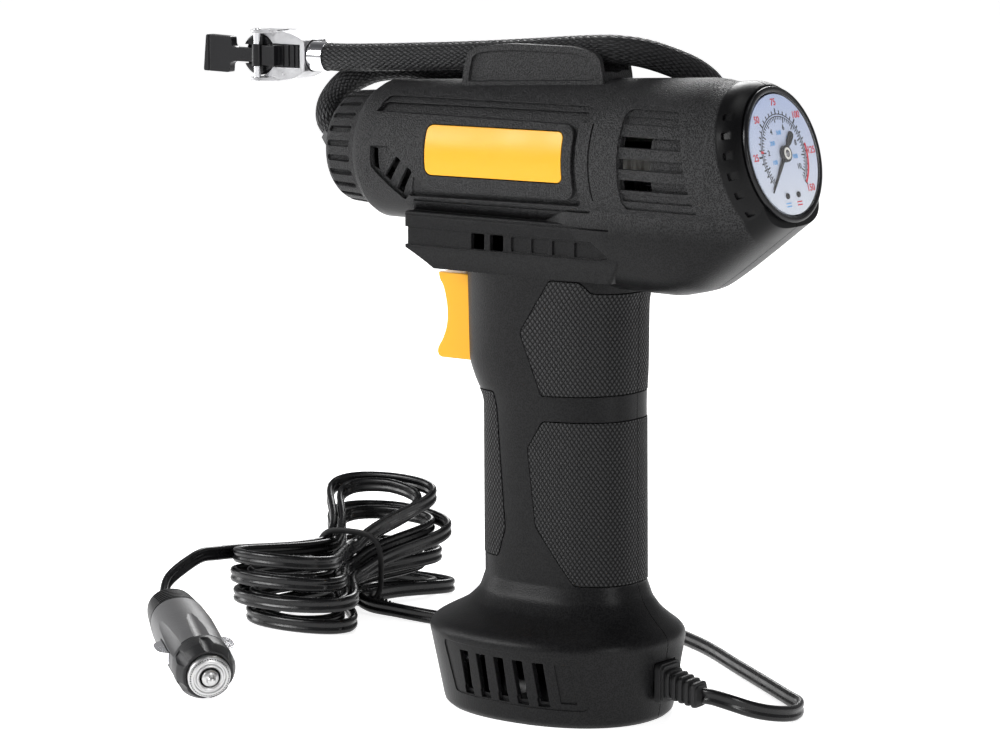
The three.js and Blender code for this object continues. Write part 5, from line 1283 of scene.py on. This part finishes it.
def needle(top):
    """The blade with its counterweight, hub and stem, and the light ring and pin on the hub."""
    c, s = math.cos(NEEDLE_ZERO), math.sin(NEEDLE_ZERO)
    paddle = [(-2.0, 0.6), (-4.2, 0.75), (-4.9, 1.15), (-8.2, 1.25), (-9.0, 0.9), (-9.3, 0)]
    upper = [(16.4, 0.1), (2.2, 0.75)] + paddle
    outline = upper + [(x, -y) for x, y in reversed(upper) if y]
    turned = [(x * c - y * s, x * s + y * c) for x, y in outline]
    blade = dial_piece("needle_blade", [turned], top + 0.3, top + 0.7)

    def round_piece(name, profile, sides=48):
        return revolve(name, [(r, top + h) for r, h in profile], GAUGE, AXIS, sides)
    hub = round_piece("hub", [(0, 0.25), (2.7, 0.25), (2.7, 1.25), (2.5, 1.5), (2.1, 1.5), (2.0, 1.4),
                              (0, 1.4)])
    stem = rod("stem", GAUGE + AXIS * (top - 6.5), GAUGE + AXIS * (top + 0.3), 0.9, 24)
    combine(blade, [hub, stem], "UNION")
    shade(blade, 35)
    wear(blade, "needle_black", "needle", ["gauge_needle"])
    ring = round_piece("needle_ring", [(1.2, 1.3), (1.95, 1.3), (1.95, 1.55), (1.2, 1.55), (1.2, 1.3)])
    wear(shade(ring, 40), "white_plastic", "needle")
    pin = round_piece("needle_pin", [(0, 1.3), (0.8, 1.3), (0.7, 1.6), (0, 1.65)], 24)
    wear(shade(pin, 40), "steel", "needle")


# ---------------------------------------------------------------- trigger
TRIGGER_TOP, TRIGGER_LOW, TRIGGER_HALF = 144.2, 115.2, 7.2
SPRING_FRONT, SPRING_REAR, SPRING_Z, TRIGGER_TRAVEL = -17.2, -6.3, 130.0, 5.0


def trigger():
    """The finger piece, hollowed at the front, and its stem."""
    top, low = TRIGGER_TOP, TRIGGER_LOW
    front = curve([
        (-44.2, 0, top), (-43.6, 0, top - 2.6), (-42.4, 0, low + 24.6), (-41.1, 0, low + 20.2),
        (-40.5, 0, low + 15), (-41.0, 0, low + 10.4), (-42.6, 0, low + 6.2), (-44.2, 0, low + 3.6),
        (-44.6, 0, low + 1.9), (-43.9, 0, low + 0.4), (-42.6, 0, low)], 5)
    back = curve([(-26.6, 0, low), (-26.6, 0, top - 6), (-27.2, 0, top - 2.8), (-28.9, 0, top - 0.8),
                  (-31, 0, top)], 4)
    finger = prism("trigger_finger", [(p.x, p.z) for p in front + back], -TRIGGER_HALF, TRIGGER_HALF)
    shade(finger, 35, 0.9, 4)
    combine(finger, box("stem", -27, SPRING_FRONT - GAP, -3, 3, SPRING_Z - 3, SPRING_Z + 3), "UNION")
    shade(finger, 35)
    wear(finger, "yellow_plastic", "trigger", ["trigger"])


def trigger_spring():
    """The coil stands between the trigger's stem and the switch."""
    length = SPRING_REAR - SPRING_FRONT
    radius, wire, turns, steps = 2.3, 0.4, 3, 72
    points = []
    for i in range(steps + 1):
        angle = 2 * math.pi * turns * i / steps
        x = SPRING_FRONT + wire + (length - 2 * wire) * i / steps
        points.append(Vector((x, radius * math.cos(angle), SPRING_Z + radius * math.sin(angle))))
    coil = sweep("trigger_coil", points, circle(wire, 8))
    wear(coil, "steel", nodes=["trigger_spring"])
    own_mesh(coil)


# ---------------------------------------------------------------- hose and chuck
HOSE_START = Vector((-89.2, 0, NOSE_Z)) + OUT * 7.3
HOSE_END = Vector((-94.9, 0, CHUCK_Z))


def round_point(x, degrees, distance):
    """A point at an angle from straight up round the barrel, at a distance from its axis."""
    a = math.radians(degrees)
    return (x, distance * math.sin(a), axis_z(x) + distance * math.cos(a))


def hose_points():
    return [
        HOSE_START, HOSE_START + OUT * 3, (-96.4, 2.6, 197.4), (-93.2, 6.4, 203.8), (-85, 9.8, 208.8),
        (-75, 11.8, 210.6), (-64, 13, 210.6), (-40, 16.6, 209.4), (-10, 21.8, 206.4), (12, 25.4, 203.2),
        round_point(25, 63.5, 31.2), round_point(35, 64.5, 31.7), round_point(41.6, 58, 31.9),
        round_point(43.8, 47, 32), round_point(40.8, 34, 32.3), round_point(34.6, 20.6, 33),
        round_point(28, 9.2, 34.2), (20.4, 0.8, 221), (13, 0, 220.7), (5, 0, 220.1), (-12, 0, 218.6),
        (-33, 0, 216.9), (-56, 0, 215.4), (-80, 0, 214), (-90.2, 0, CHUCK_Z), HOSE_END,
    ]


def hose():
    path = even(curve(hose_points(), 14), 0.8)
    pipe = sweep("air_hose", path, circle(HOSE_R - 0.05, 48))
    shade(pipe, 60, weighted=False)
    wear(pipe, "hose_braid", nodes=["hose"])
    return pipe, path


CHUCK_X, FERRULE_X, CHEEK = -121.5, -95.2, 8.7
FORK_REAR, FORK_FRONT, FORK_BACK = -101.6, -5.6, 6.6
PIN_X, PIN_Y, PIN_R = -120.2, -8.0, 1.2


def pin_hole(clearance):
    return rod("hole", (PIN_X, PIN_Y, CHUCK_Z - 20), (PIN_X, PIN_Y, CHUCK_Z + 20), PIN_R + clearance, 32)


def chuck_ferrule():
    ferrule = revolve("hose_sleeve", [
        (2.4, 0), (4.9, 0), (5.05, 0.25), (5.05, 8.4), (4.85, 8.6), (4.85, 9.0), (5.0, 9.2), (5.0, 10.2),
        (4.6, 10.8), (4.6, 14.2), (2.4, 14.2), (2.4, 0)], (FERRULE_X, 0, CHUCK_Z), (-1, 0, 0), 64)
    shade(ferrule, 40)
    return wear(ferrule, "chrome", nodes=["hose_ferrule"])


def chuck_fork():
    """Chrome fork round the socket, with ears for the cross pin."""
    z = CHUCK_Z
    upper = [(-119.2, z + CHEEK - 0.4), (-112, z + CHEEK - 0.3), (-107.5, z + 7.9), (-104, z + 6.6),
             (FORK_REAR, z + 5.0)]
    lower = [(x, 2 * z - level) for x, level in reversed(upper)]
    outline = soften(upper + lower, [1.2, 2, 2, 2, 0.8, 0.8, 2, 2, 2, 1.2])
    block = prism("chuck_fork", outline, FORK_FRONT, FORK_BACK)
    combine(block, rod("room", (CHUCK_X, -30, z), (CHUCK_X, 30, z), 7.4, 64))
    ears = []
    for side in (-1, 1):
        level = z + side * (CHEEK - 0.55)
        outline = soften([
            (PIN_X - 2.1, -9.8), (PIN_X + 2.1, -9.8), (-113.4, -5.0), (-113.4, 1), (PIN_X - 0.6, 1),
            (PIN_X - 2.1, -5)], [1.8, 1.8, 1, 0, 1, 1])
        ears.append(prism("ear", outline, level - 0.55, level + 0.55, "XY"))
    combine(block, ears, "UNION")
    combine(block, [box("slot", CHUCK_X - 30, FORK_REAR - 2, -30, -1.5, z - 4.0, z + 4.0),
                    rod("bore", (FORK_REAR - 8.4, 0, z), (FORK_REAR + 10, 0, z), 5.4, 48), pin_hole(0.1)])
    shade(block, 35)
    return wear(block, "chrome_cast", nodes=["chuck_body"])


def valve_socket():
    """Round black socket, with the ribbed cushion under the thumb."""
    z = CHUCK_Z
    socket = revolve("valve_socket", [
        (0, 0), (2.2, 0), (2.2, -3), (3.9, -3), (3.9, -8), (3.9, -8.8), (4.3, -9), (6.6, -9), (7.0, -8.6),
        (7.1, -8), (7.1, 5.2), (6.7, 5.6), (6.2, 5.7), (0, 5.7)], (CHUCK_X, 0, z), (0, -1, 0), 64)
    combine(socket, box("gap", CHUCK_X - 30, PIN_X - 0.6, -30, -3.2, z - 3.3, z + 3.3))
    cushion = box("cushion", -115.5, FORK_REAR - 2.3, FORK_FRONT - 0.3, -1.8, z - 3.7, z + 3.7)
    combine(socket, [cushion, box("link", PIN_X + 2.4, -112.4, -8.6, -5, z - 3.4, z + 3.4)], "UNION")
    for i in range(3):
        x = -110.6 + i * 2.4
        combine(socket, box("groove", x, x + 0.6, -20, FORK_FRONT + 0.25, z - 5, z + 5))
    shade(socket, 35)
    return wear(socket, "black_gloss", nodes=["chuck_socket"])


def cross_pin():
    reach = CHEEK + 0.5
    upper = [(PIN_R, reach - 0.3), (0.9, reach), (0, reach)]
    profile = [(r, -h) for r, h in reversed(upper)] + upper
    pin = revolve("cross_pin", profile, (PIN_X, PIN_Y, CHUCK_Z), (0, 0, 1), 32)
    shade(pin, 40)
    return wear(pin, "chrome", nodes=["chuck_pin"])


def thumb_lever():
    """Lever on the cross pin, with a stepped T at its end."""
    z, half = CHUCK_Z, 1.5
    outline = soften([
        (PIN_X, z - 2.4), (-129.8, z - 2.4), (-131.2, z - 3.4), (-131.4, z - 6.4), (-142.8, z - 6.2),
        (-141.6, z + 6.4), (-130.4, z + 6), (-130.2, z + 3.2), (-129.2, z + 2.4), (PIN_X, z + 2.4)],
        [0] + [0.8] * 8 + [0])
    lever = prism("thumb_lever", outline, PIN_Y - half, PIN_Y + half)
    combine(lever, rod("hub", (PIN_X, PIN_Y, z - 3.8), (PIN_X, PIN_Y, z + 3.8), 1.85, 40), "UNION")
    combine(lever, pin_hole(0.06))
    combine(lever, box("step", -140.6, -139.9, -30, PIN_Y - half + 0.3, z - 10, z + 10))
    shade(lever, 35, 0.25, 2)
    return wear(lever, "black_gloss", "lever", ["chuck_lever"])


def chuck():
    return [chuck_ferrule(), chuck_fork(), valve_socket(), cross_pin(), thumb_lever()]


# ---------------------------------------------------------------- power cord
STRAIN_Z, STRAIN_FACE, STRAIN_LENGTH, STRAIN_DROOP = 13.8, 42.3, 12.0, 3.0
BOOT_HALF_WIDTH, BOOT_HALF_HEIGHT = 6.0, 6.6
CORD_EXIT = Vector((STRAIN_FACE + 3 + STRAIN_LENGTH + 0.4, 0, STRAIN_Z - STRAIN_DROOP))


def strain_relief():
    """A plate held by the housing, and a ribbed boot that droops towards the cord."""
    plate, ribs = 3.0, 5
    step = STRAIN_LENGTH / ribs

    def plate_face(edge):
        wide, tall = BOOT_HALF_WIDTH - edge, BOOT_HALF_HEIGHT - edge
        return rounded(-wide, wide, STRAIN_Z - tall, STRAIN_Z + tall, 1.6)

    body = prism("cable_boot", plate_face(0), STRAIN_FACE, STRAIN_FACE + plate - 0.8, "YZ")
    parts = [prism("step", plate_face(0.7), STRAIN_FACE + 1, STRAIN_FACE + plate, "YZ"),
             box("neck", STRAIN_FACE - 7, STRAIN_FACE + 1, -3.6, 3.6, STRAIN_Z - 3.6, STRAIN_Z + 3.6)]
    rings = []
    for i in range(ribs + 1):
        x = STRAIN_FACE + plate - 0.3 + i * step
        z = STRAIN_Z - i * STRAIN_DROOP / ribs
        half = 3.95 - i * 0.1
        rings.append(super_ring(half, half, 4, 32, lambda a, b: (x, a, z + b)))
    parts.append(loft("core", rings))
    for i in range(ribs):
        x = STRAIN_FACE + plate + i * step
        z = STRAIN_Z - (i + 0.6) * STRAIN_DROOP / ribs
        half = 4.8 - i * 0.15
        rings = []
        for h, grow in ((0, -0.35), (0.35, 0), (step * 0.52, 0), (step * 0.52 + 0.35, -0.35)):
            rings.append(super_ring(half + grow, half + grow, 5, 32, lambda a, b: (x + h, a, z + b)))
        parts.append(loft("rib", rings))
    combine(body, parts, "UNION")
    shade(body, 35, 0.2, 2)
    wear(body, "plain_rubber", nodes=["strain_relief"])


TURNS, LAYERS, HANK_HALF = 8, 4, 44.0
HANK_CENTRE = Vector((-152, 81, 0))
HANK_ANGLE = math.radians(-6)
HANK_ALONG = Vector((math.sin(HANK_ANGLE), math.cos(HANK_ANGLE), 0))
HANK_ACROSS = Vector((math.cos(HANK_ANGLE), -math.sin(HANK_ANGLE), 0))
COLUMN, LAYER, WAIST, WAIST_LIFT = 3.9, 6.1, 1.7, 2.0
SWELL, GROWTH, LOOP_STEP, FAN, STRETCH, EASE = 9.0, 2.2, 3.6, 0.17, 0.04, 3.6
SWAY, SWAY_FROM = 0.12, 16.0
HANK_START, HANK_END = 0.03, 7.64


def hank_point(turns):
    """The hank's centreline: flat figures of eight that pile up, pinched at the waist."""
    per = TURNS / LAYERS
    column = abs(per - turns % (2 * per))
    level = sum(min(max((turns - k * per) * 2 + 0.5, 0), 1) for k in range(1, LAYERS))
    angle = math.pi / 2 + 2 * math.pi * turns
    swell = SWELL + GROWTH * column
    end = -math.cos(angle)
    stretch = 0.86 if end > 0 else 1 + STRETCH * level / (LAYERS - 1)
    reach = (HANK_HALF * stretch + LOOP_STEP * column) * end
    side = (WAIST + COLUMN * column + swell) * math.sin(angle) + swell * math.sin(3 * angle)
    ease = EASE * max(0, 1 - turns / 0.25) ** 2 + SWAY * (2 - level) * max(-reach - SWAY_FROM, 0)
    opened = math.cos(angle) ** 2
    fan = level * FAN if reach > 0 else 0
    near = 0.25 * opened if reach < 0 else 0
    lift = level * LAYER * (1 + near) + WAIST_LIFT * (1 - opened)
    run = reach * math.cos(fan) if reach > 0 else reach
    point = HANK_CENTRE + HANK_ALONG * run + HANK_ACROSS * (side + ease)
    point.z = CORD_Z + lift + max(reach, 0) * math.sin(fan)
    return point


def hank_heading(turns):
    return (hank_point(turns + 0.005) - hank_point(turns - 0.005)).normalized()


def lead_points():
    heading = hank_heading(HANK_START)
    meet = hank_point(HANK_START) - heading * (CORD_W + GAP)
    h = CORD_Z
    return [CORD_EXIT, CORD_EXIT + Vector((3.6, 0, 0)), (66.4, 2, 9.4), (72, 7.6, 6.6), (76, 15, 4.4),
            (77.4, 25, h), (74, 34.6, h), (64, 42.6, h), (30, 68.4, h), (-2, 92, h), (-26, 103, h),
            (-50, 99, h), (-72, 84, h), (-92, 74, h), (-108, 73, h), (-122, 73, h + 0.4), (-134, 73, h + 0.9),
            meet - heading * 9, meet - heading * CORD_W, meet]


def tail_points():
    heading = hank_heading(HANK_END)
    meet = hank_point(HANK_END) + heading * (CORD_W + GAP)
    back = PLUG_FACE - PLUG_AXIS * (PLUG_LENGTH + GAP)
    return [meet, meet + heading * CORD_W, meet + heading * 12 + Vector((0.5, 0, -1.6)), (-177.4, 9, 19),
            (-172, -1, 14), (-164.5, -11, 14), (-157, -19.6, 18.4), back - PLUG_AXIS * CORD_W, back]


def power_cord():
    """One flat twin cord from the strain relief, through the hank, to the back of the plug."""
    lead = curve(lead_points(), 10)
    first, last = hank_heading(HANK_START), hank_heading(HANK_END)
    steps_a_turn = 72
    count = int((HANK_END - HANK_START) * steps_a_turn)
    hank = [hank_point(HANK_START) - first * CORD_W]
    hank += [hank_point(HANK_START + (HANK_END - HANK_START) * i / count) for i in range(count + 1)]
    hank.append(hank_point(HANK_END) + last * CORD_W)
    tail = curve(tail_points(), 10)
    path = even(lead + hank + tail, 1.6)
    cord = sweep("mains_cord", path, twin_section(), upright=True)
    shade(cord, 50, weighted=False)
    wear(cord, "cord_pvc", nodes=["power_cord_lead", "power_cord_hank", "power_cord_tail"])
    return cord, path


def tie_end(knot, turn):
    """One of the two wires that are twisted round each other past the knot."""
    coil = []
    for i in range(60):
        t = i / 59
        a = turn + 2 * math.pi * 3.5 * t
        centre = knot + Vector((0.6 + 13 * t, -2 * t, -2.6 * t))
        coil.append(centre + Vector((0, 0.7 * math.cos(a), 0.7 * math.sin(a))))
    return sweep("tie_end", coil, circle(0.55, 10))


def twist_tie():
    """A coated wire round the waist of the hank, with its end left sticking out."""
    columns = TURNS / LAYERS
    low, top = 1.3, CORD_Z + WAIST_LIFT + (LAYERS - 1) * LAYER + CORD_W / 2 + 2.6
    right = WAIST + columns * COLUMN + EASE + 2 + GAP + 0.3
    left = -(WAIST + (columns - 0.5) * COLUMN + GAP + CORD_T / 2 + 1.7)
    middle, height = (left + right) / 2, (top + low) / 2
    ring = super_ring((right - left) / 2 + 0.4, (top - low) / 2, 3.4, 56,
                      lambda a, b: HANK_CENTRE + HANK_ACROSS * (middle + a) + Vector((0, 0, height + b)))
    wire = sweep("tie_wire", even(ring + ring[:1], 1.0), [(0.5 * a, 1.2 * b) for a, b in circle(1, 16)])
    knot = ring[len(ring) * 7 // 8]
    tie = merged("tie_wire", [wire, tie_end(knot, 0), tie_end(knot, math.pi)])
    shade(tie, 50, weighted=False)
    wear(tie, "plain_rubber", nodes=["twist_tie"])


# ---------------------------------------------------------------- 12 V plug
PLUG_RIGHT = Vector((0, 0, 1)).cross(PLUG_AXIS).normalized()
PLUG_UP = PLUG_AXIS.cross(PLUG_RIGHT)


def plug_at(a, b, h):
    return tuple(PLUG_FACE + PLUG_RIGHT * a + PLUG_UP * b + PLUG_AXIS * h)


def plug_revolve(name, profile, sides=96):
    return revolve(name, profile, PLUG_FACE, PLUG_AXIS, sides)


def plug_box(name, a0, a1, b0, b1, h0, h1):
    corners = ((a0, b0), (a1, b0), (a1, b1), (a0, b1))
    return loft(name, [[plug_at(a, b, h) for a, b in corners] for h in (h0, h1)])


def plug_rod(name, degrees, start, end, radius, end_radius=None, sides=32):
    """A rod beside the plug's axis; start and end are (distance from the axis, place along it)."""
    a = math.radians(degrees)
    c, s = math.cos(a), math.sin(a)
    return rod(name, plug_at(start[0] * c, start[0] * s, start[1]), plug_at(end[0] * c, end[0] * s, end[1]),
               radius, sides, end_radius)


def plug_front():
    """Silver cap with its knurled ring, the pointed tip and the scalloped collar."""
    r = PLUG_R
    cap = plug_revolve("plug_metal_cap", [
        (3.6, -4.6), (7.4, -4.6), (7.4, -1.3), (7.2, -0.9), (6.1, -0.2), (5.7, -0.15), (5.4, -0.75),
        (4.9, -0.75), (4.6, -0.1), (4.2, 0.05), (3.9, -0.1), (3.6, -0.4), (3.6, -4.6)])
    notches = [plug_rod("notch", i * 7.5, (7.75, -6), (6.3, 1.2), 0.26, sides=6) for i in range(48)]
    combine(cap, merged("notches", notches))
    shade(cap, 40)
    wear(cap, "plug_silver", nodes=["plug_cap"])
    tip = plug_revolve("plug_pin", [
        (0, -17.5), (3, -17.5), (3, -0.1), (2.8, 0.4), (2.2, 0.8), (1.7, 1.1), (1.5, 2.2), (1.1, 2.9),
        (0.5, 3.2), (0, 3.2)], 48)
    shade(tip, 45)
    wear(tip, "plug_silver", "plug_tip_pin", ["plug_tip"])
    collar = plug_revolve("plug_collar", [
        (3.6, -13.5), (r - 0.7, -13.5), (r - 0.15, -13.1), (r, -12.4), (r, -7.0), (r - 0.3, -6.2),
        (8.8, -3.3), (8.5, -3.0), (7.7, -3.0), (7.7, -4.9), (3.6, -4.9), (3.6, -13.5)])
    for degrees in range(30, 390, 60):
        combine(collar, plug_rod("scallop", degrees, (r + 2.4, -10.5), (r + 0.6, 1), 2.9, 3.4))
    shade(collar, 35)
    wear(collar, "plug_dark", nodes=["plug_nose"])
    return [cap, tip, collar]


def plug_shell():
    """Fluted body with a ribbed thumb end."""
    places = smooth_table([(-PLUG_LENGTH, 6.6, 6.2), (-62, 8.2, 7.4), (-48, 9.8, 9.2), (-36, PLUG_R, 10),
                           (-20, PLUG_R, PLUG_R), (-13.8, PLUG_R - 0.4, PLUG_R - 0.4)], 1.2, 0.9)

    def form(name, inset, count):
        return loft(name, [super_ring(a - inset, b - inset, 2.2, count, lambda p, q: plug_at(p, q, h))
                           for h, a, b in places])
    body = form("plug_shell", 0.0, 96)
    for degrees in range(30, 390, 60):
        combine(body, plug_rod("flute", degrees, (PLUG_R + 3.3, -41), (PLUG_R + 2.3, -8), 3.0, 4.4, 40))
    windows = plug_box("windows", -20, 20, -2.6, 2.6, -30.7, -17.3)
    combine(windows, plug_box("core", -5.2, 5.2, -5.2, 5.2, -60, 0))
    combine(body, windows)
    split = plug_revolve("ring", [(6.0, -50.1), (14, -50.1), (14, -49.3), (6.0, -49.3), (6.0, -50.1)])
    combine(split, form("inner", 0.6, 64))
    ribs = [plug_box("rib", -6.4, 6.4, 4.0, 20, -62.4 + i * 1.8, -61.5 + i * 1.8) for i in range(7)]
    ribs = merged("ribs", ribs)
    combine(ribs, form("inner", 0.8, 64))
    combine(body, [split, ribs])
    shade(body, 33)
    return wear(body, "grey_plastic", nodes=["plug_body"])


def plug():
    """The sprung side contacts, the front pieces and the body."""
    inner, outer = 5.2 + 1.5, PLUG_R + 3.6
    outline = soften([(inner, -29.6), (PLUG_R + 0.2, -29.6), (outer, -27), (outer, -20.6),
                      (PLUG_R + 0.2, -18.4), (inner, -18.4)], [0, 1, 2, 2, 1, 0])
    for side, label in ((-1, "left"), (1, "right")):
        rings = [[plug_at(side * a, b, h) for a, h in outline] for b in (-2.2, 2.2)]
        contact = loft("plug_spring_" + label, rings)
        shade(contact, 35, 0.3, 2)
        wear(contact, "chrome", "contact_" + label, ["plug_contact_" + label])
    return plug_front() + [plug_shell()]


# ---------------------------------------------------------------- screws and the nodes that stay
def screws():
    """Pan heads with a cross, deep in their wells on the far side."""
    profile = [(0, -12.7), (1.5, -12.7), (1.5, 13), (2.5, 13), (2.5, 14.2), (2.1, 14.8), (1.2, 15), (0, 15)]
    for i, (x, z) in enumerate(SCREWS):
        head = revolve(f"screw_head_{i + 1}", profile, (x, 0, z), (0, 1, 0), 32)
        for angle in (0.4, 0.4 + math.pi / 2):
            c, s = math.cos(angle), math.sin(angle)
            corners = ((-1.5, -0.3), (1.5, -0.3), (1.5, 0.3), (-1.5, 0.3))
            outline = [(x + a * c - b * s, z + a * s + b * c) for a, b in corners]
            combine(head, prism("cross", outline, 13.9, 16))
        shade(head, 35)
        wear(head, "steel", nodes=[f"housing_screw_{i + 1}"])


def dress_nodes():
    """The CAD nodes that stay in sight behind the openings get their own finish."""
    slots = {entry["node"]: entry["material_slot"] for entry in frame["record"]["subparts"]}
    for name, item in frame["nodes"].items():
        slot = slots.get(name, "black_plastic")
        key = {"black_plastic": "black_smooth", "grip_rubber": "plain_rubber"}.get(slot, slot)
        item.data.materials.clear()
        item.data.materials.append(paint[key])
        item.data.shade_smooth()
        item.data.set_sharp_from_angle(angle=math.radians(30))


def floor():
    reach = 6000
    sheet = box("floor", -reach, reach, -reach, reach, -10, 0)
    sheet.data.materials.append(paint["floor"])


# ---------------------------------------------------------------- the whole
paint = make_materials()
camera()
studio()
dress_nodes()
cord, cord_path = power_cord()
hose_piece, hose_path = hose()
plug_pieces = plug()
chuck_pieces = chuck()
round(line_length(cord_path) * MM, 3)
[tuple(p * MM) for p in cord_path]
round(line_length(hose_path) * MM, 3)
[tuple(p * MM) for p in hose_path]
twist_tie()
strain_relief()
housing()
panels()
grip_pads()
nose()
gauge()
trigger()
trigger_spring()
screws()
floor()
